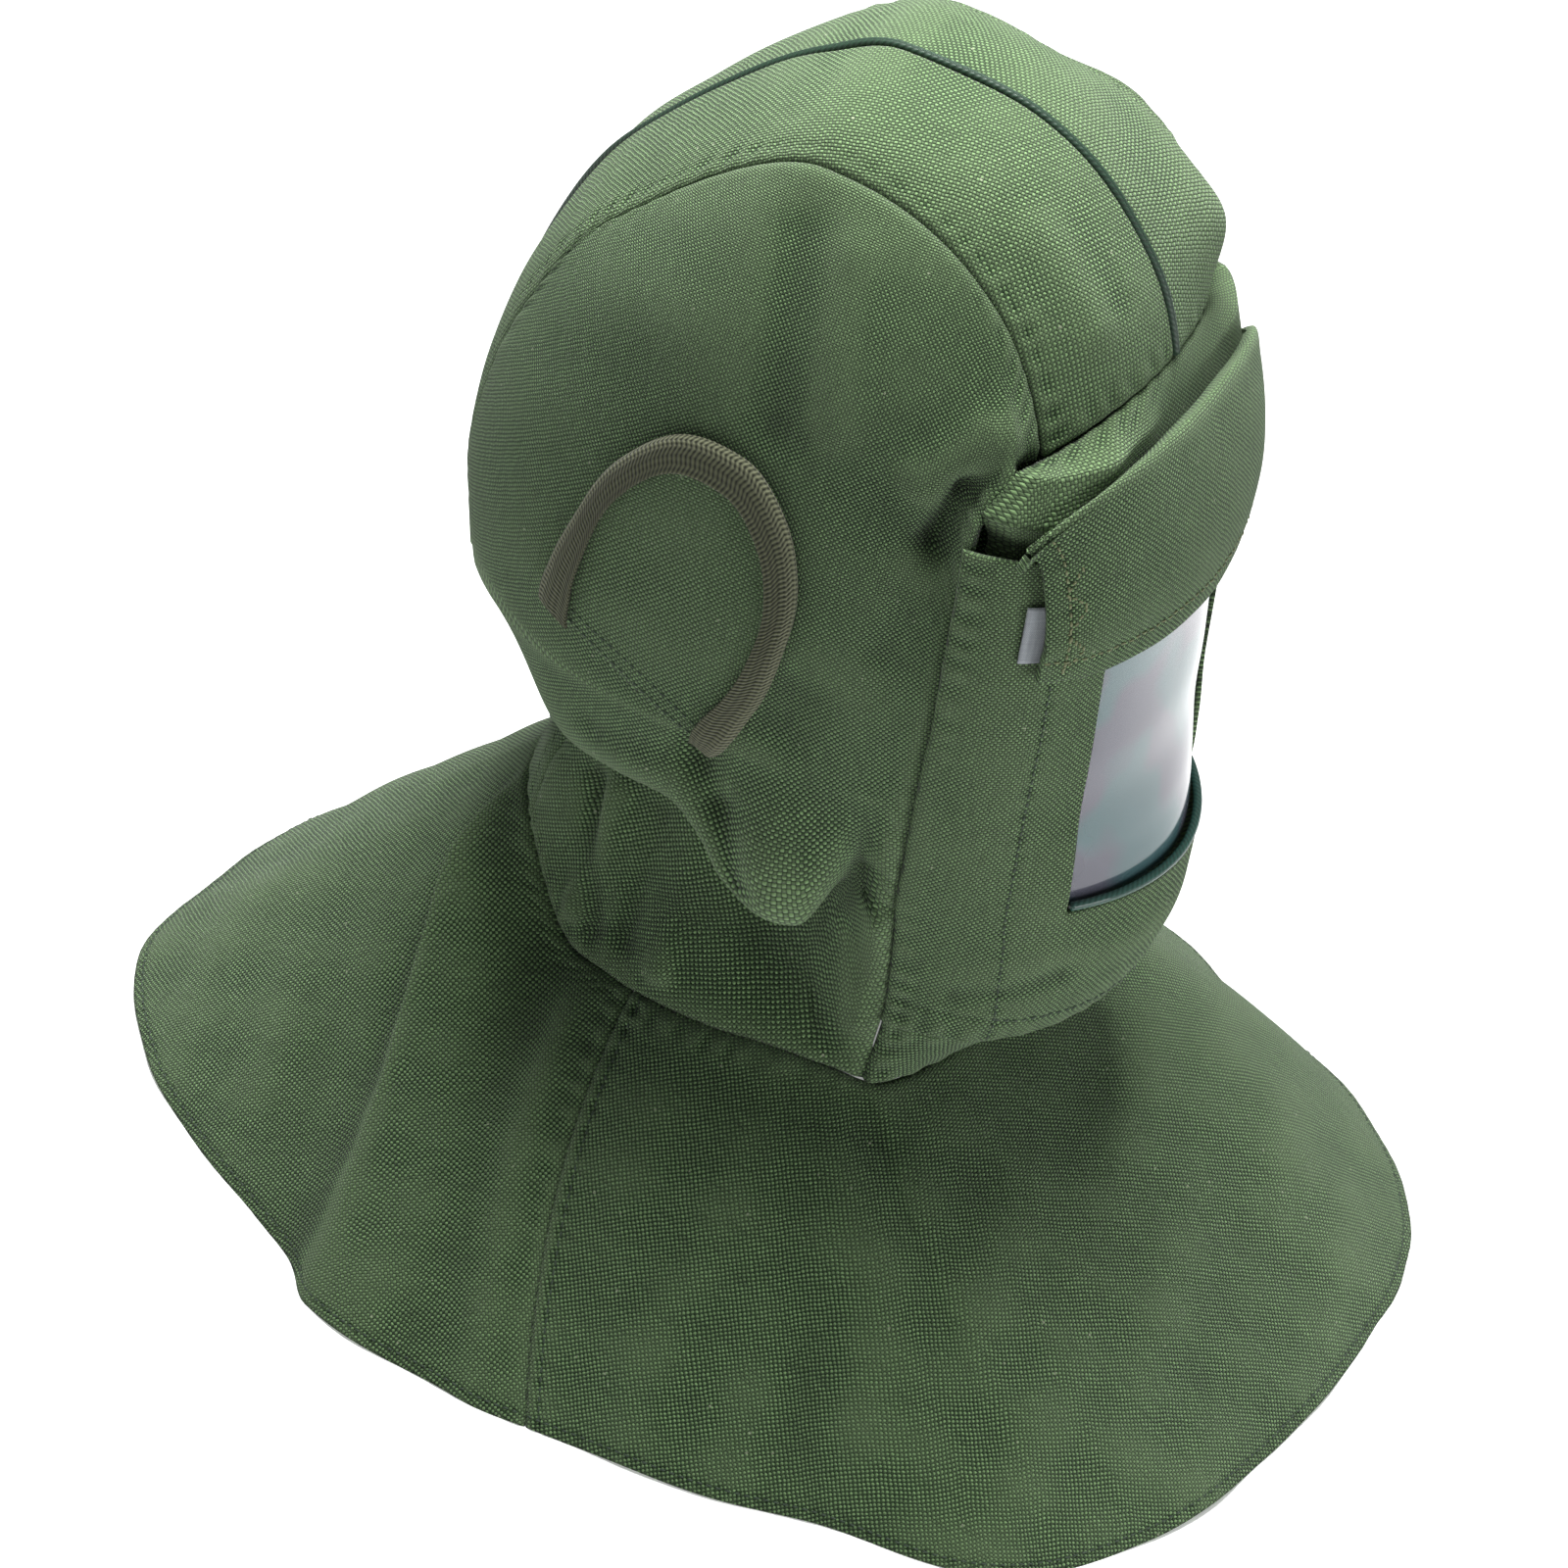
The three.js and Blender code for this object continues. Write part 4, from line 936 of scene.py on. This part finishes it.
def stitches(name, lines, thick=0.34):
    """One mesh with all the stitches of several lines."""
    points, faces = [], []
    for path, normal in lines:
        far = run_length(path)
        for k in range(int(far[-1] / PITCH)):
            place = (k + 0.5 + SHOWN * BEAD["place"]) * PITCH
            centre = np.stack([np.interp(place, far, path[:, i]) for i in range(3)], -1)
            up = unit(np.stack([np.interp(place, far, normal[:, i]) for i in range(3)], -1))
            across = unit(np.cross(unit(centre[-1] - centre[0]), up))
            centre = centre + up * BEAD["height"][:, None]
            radius = thick * BEAD["thick"][:, None, None]
            bead, sides = rod(centre, up, across, radius, BEAD_SIDES, BEAD_POINTS * len(points))
            points.append(bead)
            faces += sides
    return add_mesh(name, np.concatenate(points), faces)


def tack(name, rows, columns, turns):
    """Zigzag between two columns of a sheet, given as shares of its height and width."""
    info, share = SHEETS[name], np.linspace(0, 1, 24 * turns)
    high, wide = np.array(info["face"].shape[:2]) - 1
    i = np.round(mix(rows[0], rows[1], share) * high).astype(int)
    j = np.round(mix(columns[0], columns[1], np.abs((share * turns) % 2 - 1)) * wide).astype(int)
    return info["face"][i, j], info["normal"][i, j]


# %%
BOLD, TACK_ROWS, TACK_TURNS = 0.42, (0.5, 0.95), 5
front_lines = [beside("front_cloth", "b", CHIN_STITCH, 0.17, 0.83)]
front_lines += [beside("front_cloth", edge, STRIP_STITCH, 0.08) for edge in "lr"]
flap_lines = [beside("brow_flap_cloth", "b", FLAP_STITCH)]
flap_lines += [beside("brow_flap_cloth", edge, FLAP_END_STITCH, 0.25) for edge in "lr"]
flap_lines += [tack("brow_flap_cloth", TACK_ROWS, columns, TACK_TURNS)
               for columns in ((0.05, 0.1), (0.95, 0.9))]
cape_lines = [beside("cape_cloth_front", "b", HEM_STITCH)]
cape_lines += [beside("cape_cloth_front", edge, SHOULDER_STITCH) for edge in "lr"]
ear_lines = [beside(f"ear_tape_{hand}", "t", inset) for hand, _ in HANDS for inset in (1.6, 7.4)]
ear_lines += [beside(f"ear_flap_cloth_{hand}", "b", inset, 0.04, 0.96)
              for hand, _ in HANDS for inset in (2, 8)]
sewing = {name: stitches(name, lines, **size) for name, lines, size in (
    ("stitches_front", front_lines, {"thick": BOLD}),
    ("stitches_flap", flap_lines, {"thick": BOLD}),
    ("stitches_cape_front", cape_lines, {}),
    ("stitches_cape_back", [beside("cape_cloth_back", "b", HEM_STITCH)], {}),
    ("stitches_ears", ear_lines, {}))}
print("stitches:", {name: len(obj.data.vertices) // BEAD_POINTS for name, obj in sewing.items()})

# %% [markdown]
# ## Materials
# Heavy plain-weave canvas: beads of warp stand light above darker weft, with painted shade in the dips
# between the threads, the odd pale fleck, patches faded by washing, ridges worn lighter and painted shade in
# the hollows of the folds. The tape has a finer rib with painted shade in its dips, the cords are smooth and
# glossy with painted shade between their plies, and the pane is clear plastic with painted bluish reflections
# in its colour.

# %%
class Wiring:
    """Short calls for adding nodes to a tree and joining them."""

    def __init__(self, tree):
        self.tree = tree

    def node(self, kind, settings=None, **inputs):
        made_node = self.tree.nodes.new(kind)
        for key, value in (settings or {}).items():
            setattr(made_node, key, value)
        for key, value in inputs.items():
            socket = int(key[2:]) if key.startswith("in") else key.replace("_", " ")
            self.join(value, made_node.inputs[socket])
        return made_node

    def join(self, value, socket):
        if isinstance(value, bpy.types.NodeSocket):
            self.tree.links.new(value, socket)
        else:
            socket.default_value = value

    def math(self, operation, a, b=0.0, c=0.0):
        return self.node("ShaderNodeMath", {"operation": operation}, in0=a, in1=b, in2=c).outputs[0]

    def vector(self, operation, a, **inputs):
        return self.node("ShaderNodeVectorMath", {"operation": operation}, in0=a, **inputs).outputs[0]

    def noise(self, place, scale, detail=2.0, out="Fac"):
        return self.node("ShaderNodeTexNoise", Vector=place, Scale=scale, Detail=detail).outputs[out]

    def streaks(self, place, x, y, detail=2.0):
        """Noise drawn out one way, because the place is squeezed that way."""
        return self.noise(self.vector("MULTIPLY", place, in1=(x, y, 1)), 1.0, detail)

    def remap(self, value, low, high, new_low=0.0, new_high=1.0):
        return self.node("ShaderNodeMapRange", Value=value, in1=low, in2=high, in3=new_low,
                         in4=new_high).outputs[0]

    def blend(self, share, a, b):
        return self.node("ShaderNodeMix", {"data_type": "RGBA"}, in0=share, in6=a, in7=b).outputs[2]

    def wear_and_shade(self):
        """The ridge or hollow that was measured on the mesh; ridges show wear, and hollows get painted shade
        in the canvas.
        """
        return self.node("ShaderNodeAttribute", {"attribute_name": "wear_and_shade"}).outputs["Fac"]


def finish_group(name, inputs):
    """A node group with inputs of its own that gives out colour, roughness and height. It also hands back the
    place on the flat cloth in millimetres."""
    group = bpy.data.node_groups.new(name, "ShaderNodeTree")
    for title, value in inputs.items():
        kind = "NodeSocketColor" if isinstance(value, tuple) else "NodeSocketFloat"
        group.interface.new_socket(title, in_out="INPUT", socket_type=kind).default_value = value
    for title, kind in (("Colour", "Color"), ("Roughness", "Float"), ("Height", "Float")):
        group.interface.new_socket(title, in_out="OUTPUT", socket_type="NodeSocket" + kind)
    w, result = Wiring(group), group.nodes.new("NodeGroupOutput")
    given = group.nodes.new("NodeGroupInput").outputs
    mm = w.vector("SCALE", w.node("ShaderNodeUVMap", {"uv_map": "cloth"}).outputs[0], Scale=1000.0)

    def give(colour, roughness, height):
        for value, socket in zip((colour, roughness, height), result.inputs):
            w.join(value, socket)
        return group

    return w, given, mm, give


# %% [markdown]
# Warp and weft cross as two sine waves: where their product is above nought the warp lies on
# top. A little noise moves the place that they are read at, so no thread is quite straight.

# %%
def canvas_group():
    """Plain weave, its colours and its relief."""
    w, given, mm, give = finish_group("plain_weave", {
        "Thread pitch mm": 1.0, "Warp": (0.2, 0.3, 0.15, 1), "Weft": (0.1, 0.16, 0.08, 1),
        "Hollow shade": (0.02, 0.03, 0.02, 1), "Worn": (0.3, 0.38, 0.22, 1), "Fade": 0.25})
    wander = w.noise(mm, 0.22, out="Color")
    shifted = w.vector("MULTIPLY_ADD", wander, in1=(0.9, 0.9, 0), in2=mm)
    parts = w.node("ShaderNodeSeparateXYZ", in0=shifted).outputs
    turn = w.math("DIVIDE", math.pi, given["Thread pitch mm"])
    across, down = [w.math("SINE", w.math("MULTIPLY", parts[k], turn)) for k in (0, 1)]
    product = w.math("MULTIPLY", across, down)
    warp_up = w.math("GREATER_THAN", product, 0.0)
    bead = w.math("POWER", w.math("ABSOLUTE", product), 0.55)
    # Each thread has its own shade, drawn out along it.
    warp_shade, weft_shade = w.streaks(mm, 1.1, 0.09), w.streaks(mm, 0.09, 1.1)
    shade = w.node("ShaderNodeMix", in0=warp_up, in2=weft_shade, in3=warp_shade).outputs[0]
    thread = w.blend(warp_up, given["Weft"], given["Warp"])
    thread = w.vector("SCALE", thread, Scale=w.remap(shade, 0.3, 0.7, 0.72, 1.3))
    # Painted shade: where the threads dive under each other, the colour goes to the dark hollow colour.
    cover = w.math("SMOOTH_MIN", w.math("MULTIPLY", bead, 1.5), 1.0, 0.2)
    colour = w.blend(cover, given["Hollow shade"], thread)
    # Washed patches and rubbed ridges are paler, and the bottoms of the folds get painted shade.
    patches, ridge = w.remap(w.noise(mm, 0.028, 3.0), 0.35, 0.68), w.wear_and_shade()
    worn = w.remap(ridge, 0.02, 0.5, 0.0, 0.6)
    worn = w.math("MULTIPLY", worn, w.math("ADD", 0.4, w.noise(mm, 0.4, 3.0)))
    fade = w.math("ADD", w.math("MULTIPLY", patches, given["Fade"]), worn)
    colour = w.blend(w.math("MULTIPLY", fade, bead), colour, given["Worn"])
    # Painted shade: the colour is darkened in the hollows of the folds, where shade falls.
    colour = w.vector("SCALE", colour, Scale=w.remap(ridge, -0.6, -0.03, 0.72, 1.0))
    # Pale flecks of lint, a few centimetres apart.
    spots = w.node("ShaderNodeTexVoronoi", {"feature": "F1"}, Vector=mm, Scale=0.11, Randomness=1.0).outputs
    near = w.math("LESS_THAN", spots["Distance"], 0.055)
    tone = w.node("ShaderNodeSeparateColor", in0=spots["Color"]).outputs[0]
    fleck = w.math("MULTIPLY", near, w.math("GREATER_THAN", tone, 0.45))
    colour = w.blend(w.math("MULTIPLY", fleck, 0.6), colour, (0.42, 0.47, 0.32, 1))
    crossing = w.math("MULTIPLY", bead, w.math("ADD", 0.7, w.math("MULTIPLY", warp_up, 0.3)))
    height = w.math("ADD", crossing, w.math("MULTIPLY", w.noise(mm, 2.6, 3.0), 0.35))
    return give(colour, w.math("SUBTRACT", 0.97, w.math("MULTIPLY", fade, 0.12)), height)


# %%
def tape_group():
    """Slanting rib of a woven binding tape with painted shade in the dips of the rib, paler where it turns
    over the edge.
    """
    w, given, mm, give = finish_group("woven_tape", {
        "Rib pitch mm": 1.7, "Thread": (0.125, 0.135, 0.075, 1), "Hollow shade": (0.02, 0.022, 0.014, 1),
        "Worn": (0.25, 0.26, 0.17, 1)})
    parts = w.node("ShaderNodeSeparateXYZ", in0=mm).outputs
    turn = w.math("DIVIDE", 2 * math.pi, given["Rib pitch mm"])
    slant = w.math("MULTIPLY", w.math("PINGPONG", parts[1], 3.0), 0.35)
    rib = w.math("SINE", w.math("MULTIPLY", w.math("ADD", parts[0], slant), turn))
    cross = w.math("SINE", w.math("MULTIPLY", parts[1], w.math("MULTIPLY", turn, 0.8)))
    rib = w.remap(w.math("ADD", rib, w.math("MULTIPLY", cross, 0.35)), -1.2, 1.2)
    rubbed = w.math("ADD", w.wear_and_shade(), w.math("MULTIPLY", w.streaks(mm, 0.9, 0.15, 3.0), 0.25))
    worn, edge = w.remap(rubbed, 0.12, 0.45, 0.0, 0.75), w.remap(parts[1], 7.0, 9.5, 0.0, 0.4)
    # Painted shade: the dips of the rib go to the dark hollow colour.
    colour = w.blend(rib, given["Hollow shade"], given["Thread"])
    pale = w.math("MULTIPLY", w.math("MAXIMUM", worn, edge), rib)
    roughness = w.math("SUBTRACT", 0.92, w.math("MULTIPLY", worn, 0.15))
    return give(w.blend(pale, colour, given["Worn"]), roughness, rib)


# %% [markdown]
# A material puts one group in front of a Principled shader. What is the same all over, such as
# sheen or coat, is set on the shader's own socket.

# %%
def material(name, group=None, relief=0.0, settings=None, **shader):
    """A material whose colour, roughness and relief come from a group, or plain values."""
    made_material = bpy.data.materials.new(name)
    made_material.use_nodes = True
    w = Wiring(made_material.node_tree)
    surface = made_material.node_tree.nodes["Principled BSDF"]
    for key, value in shader.items():
        surface.inputs[key.replace("_", " ")].default_value = value
    if group:
        source = w.node("ShaderNodeGroup", {"node_tree": group})
        for key, value in (settings or {}).items():
            source.inputs[key].default_value = value
        w.join(source.outputs["Colour"], surface.inputs["Base Color"])
        w.join(source.outputs["Roughness"], surface.inputs["Roughness"])
        bump = w.node("ShaderNodeBump", Distance=relief, Strength=1.0, Height=source.outputs["Height"])
        w.join(bump.outputs[0], surface.inputs["Normal"])
    return made_material


weave, rib_tape = canvas_group(), tape_group()
CANVAS = material("green_canvas", weave, 0.0007, {
    "Warp": (0.195, 0.33, 0.137, 1), "Weft": (0.019, 0.045, 0.014, 1),
    "Hollow shade": (0.003, 0.007, 0.003, 1), "Worn": (0.16, 0.24, 0.115, 1), "Fade": 0.1},
    Sheen_Weight=0.15, Specular_IOR_Level=0.2)
BINDING = material("olive_tape", rib_tape, 0.0005, Sheen_Weight=0.1, Specular_IOR_Level=0.25)
WHITE = material("label_weave", weave, 0.0001, {
    "Thread pitch mm": 0.35, "Warp": (0.42, 0.45, 0.48, 1), "Weft": (0.3, 0.33, 0.36, 1),
    "Hollow shade": (0.1, 0.11, 0.12, 1), "Worn": (0.5, 0.52, 0.53, 1)})

# %% [markdown]
# Cord and thread share one group: a sine that runs slantwise round them is the twist of their plies, with
# painted shade in the grooves between them. The clear sheet gets uneven roughness, so its reflections show
# that it has been handled, and its colour holds painted bluish reflections.

# %%
def cord_group():
    """Twisted cord with a waxy finish."""
    w, given, mm, give = finish_group("twisted_cord", {"Thread": (0.03, 0.075, 0.05, 1), "Twist mm": 2.2})
    parts = w.node("ShaderNodeSeparateXYZ", in0=mm).outputs
    turn = w.math("DIVIDE", 2 * math.pi, given["Twist mm"])
    lay = w.math("SINE", w.math("MULTIPLY", w.math("ADD", parts[1], parts[0]), turn))
    lay = w.remap(lay, -1.0, 1.0)
    # Painted shade and light: the grooves between the plies are darker and their crests lighter, with a
    # little random tone from the noise.
    shade = w.remap(w.math("ADD", lay, w.noise(mm, 0.5)), 0.2, 1.6, 0.6, 1.35)
    return give(w.vector("SCALE", given["Thread"], Scale=shade), w.remap(lay, 0.0, 1.0, 0.62, 0.42), lay)


def clear_group():
    """Painted bluish reflections over a faint tint, and faint smears and fine scratches of a handled plastic
    sheet.
    """
    w, given, mm, give = finish_group("handled_plastic_and_reflections", {
        "Tint": (0.19, 0.19, 0.25, 1), "Cool tint": (0.13, 0.25, 0.27, 1)})
    smear, scratch = w.noise(mm, 0.02, 3.0), w.streaks(mm, 1.5, 0.03)
    # Painted reflection: in large patches the sheet's faint tint turns to a cool bluish reflection colour.
    reflection_patches = w.remap(w.noise(mm, 0.03, 1.0), 0.45, 0.55)
    colour = w.vector("SCALE", w.blend(reflection_patches, given["Tint"], given["Cool tint"]),
                      Scale=w.remap(smear, 0.3, 0.7, 0.9, 1.08))
    marked = w.math("ADD", smear, w.math("MULTIPLY", scratch, 0.4))
    return give(colour, w.remap(marked, 0.4, 1.0, 0.06, 0.2), smear)


cord_twist, plastic = cord_group(), clear_group()
PIPING_CORD = material("piping", cord_twist, 0.0001, {"Thread": (0.022, 0.05, 0.03, 1)})
RIM_CORD = material("rim_piping", cord_twist, 0.0001, {"Thread": (0.02, 0.08, 0.06, 1)}, Coat_Weight=0.5)
THREAD, OLIVE_THREAD = [
    material(name, cord_twist, 0.00005, {"Thread": colour, "Twist mm": 0.7}) for name, colour in (
        ("sewing_thread", (0.035, 0.06, 0.035, 1)), ("olive_sewing_thread", (0.17, 0.19, 0.09, 1)))]
CLEAR = material("clear_plastic", plastic, 0.00002, Transmission_Weight=0.5, IOR=1.49, Coat_Weight=0.3)

# %% [markdown]
# ## Joining the finished pieces to the model
# Each fine piece takes the place of its CAD node, which is hidden, gets its material and rides the root body.

# %%
BOTH_SIDES = "side_cloth_right side_cloth_left"
PIECES = [
    # made, model node, material, how it is held, what it hangs from; {} is right, then left
    ("crown_cloth_{}", "crown_panel_{}", CANVAS, "draped", "crown_piping_cord"),
    ("side_cloth_{}", "side_panel_{}", CANVAS, "draped", "crown_cloth_{}"),
    ("front_cloth", "front_panel", CANVAS, "hung", BOTH_SIDES),
    ("chin_cloth", "chin_gusset", CANVAS, "gathered", "front_cloth"),
    ("brow_band_cloth", "brow_band", CANVAS, "stretched", "crown_cloth_right crown_cloth_left"),
    ("brow_flap_cloth", "brow_flap", CANVAS, "folded", "brow_band_cloth"),
    ("ear_flap_cloth_{}", "ear_flap_{}", CANVAS, "laid", "side_cloth_{}"),
    ("ear_tape_{}", "ear_binding_{}", BINDING, "folded", "ear_flap_cloth_{}"),
    ("blank_label", "care_label", WHITE, "laid", "front_cloth"),
    ("cape_cloth_front", "cape_front", CANVAS, "hung", "chin_cloth " + BOTH_SIDES),
    ("cape_cloth_back", "cape_back", CANVAS, "hung", BOTH_SIDES),
    ("clear_pane", "window_pane", CLEAR, "", ""),
    ("crown_piping_cord", "crown_piping", PIPING_CORD, "", ""),
    ("window_rim", "window_rim_cord", RIM_CORD, "", ""),
]


def join_piece(name, node, finish):
    """Puts a made piece in its node's place: gives it its material, hangs it from the root body and hides the
    node.
    """
    obj = made[name]
    obj.data.materials.append(finish)
    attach(obj, "root")
    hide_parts(node)


for obj in sewing.values():
    obj.data.materials.append(OLIVE_THREAD if obj.name == "stitches_flap" else THREAD)
    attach(obj, "root")
for name, node, finish, held, hangs_from in PIECES:
    for hand in ("right", "left") if "{}" in name else ("",):
        join_piece(name.format(hand), node.format(hand), finish)

# %% [markdown]
# ## Floor, light and camera
# A pale floor at the hem, a faint studio sky, a soft lamp overhead and two weaker ones in front
# and at the side. The camera stands where the photograph was taken from: high on the wearer's
# right, and slightly tilted.

# %%
FLOOR_HALF, UNDER_HEM = 4, 0.0005
z = -ORIGIN[2] / 1000 - UNDER_HEM
corners = [(x * FLOOR_HALF, y * FLOOR_HALF, z) for x, y in ((-1, -1), (1, -1), (1, 1), (-1, 1))]
floor_mesh = bpy.data.meshes.new("floor")
floor_mesh.from_pydata(corners, [], [(0, 1, 2, 3)])
floor = bpy.data.objects.new("floor", floor_mesh)
bpy.context.collection.objects.link(floor)
floor_mesh.materials.append(material("pale_floor", Base_Color=(0.94, 0.94, 0.94, 1), Roughness=0.9,
                                     Emission_Color=(1, 1, 1, 1), Emission_Strength=0.3))

world = bpy.data.worlds.new("studio")
world.use_nodes = True
sky = world.node_tree.nodes["Background"].inputs
sky["Color"].default_value = (0.93, 0.96, 1.0, 1)
sky["Strength"].default_value = 0.14
bpy.context.scene.world = world
bpy.context.scene.view_settings.view_transform = "Standard"

TARGET = Vector((0.014, 0.005, -0.3131))


def softbox(name, where, size, power):
    """A square lamp that faces the hood."""
    lamp = bpy.data.lights.new(name, "AREA")
    lamp.size, lamp.energy = size, power
    obj = bpy.data.objects.new(name, lamp)
    obj.location = where
    obj.rotation_euler = (TARGET - Vector(where)).to_track_quat("-Z", "Y").to_euler()
    bpy.context.collection.objects.link(obj)
    return obj


lamps = [
    softbox("lamp_overhead", (0.18, 0.12, 0.85), 0.6, 31),
    softbox("lamp_front", (-0.3, -1.7, -0.2), 0.7, 12),
    softbox("lamp_side", (-1.9, -0.6, 1.1), 1.0, 1.0),
]

# %%
CAMERA_AWAY, LENS_MM, SENSOR_MM, ROLL_DEG = 3.0, 202.5, 36, 10
back = Vector((-0.7405, -0.2695, 0.6157))
level, rise = Vector((0.342, -0.940, 0.0)), Vector((0.579, 0.2107, 0.788))
tilt = math.radians(ROLL_DEG)
across = math.cos(tilt) * level + math.sin(tilt) * rise
up = -math.sin(tilt) * level + math.cos(tilt) * rise
lens = bpy.data.cameras.new("camera")
lens.sensor_width, lens.lens = SENSOR_MM, LENS_MM
camera = bpy.data.objects.new("camera", lens)
turned = Matrix((across, up, back)).transposed().to_4x4()
camera.matrix_world = Matrix.Translation(TARGET + CAMERA_AWAY * back) @ turned
bpy.context.collection.objects.link(camera)
bpy.context.scene.camera = camera
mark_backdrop(floor, *lamps)

# %%
size_after = [list(corner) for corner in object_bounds()]
print("size before and after:", size_before, size_after)
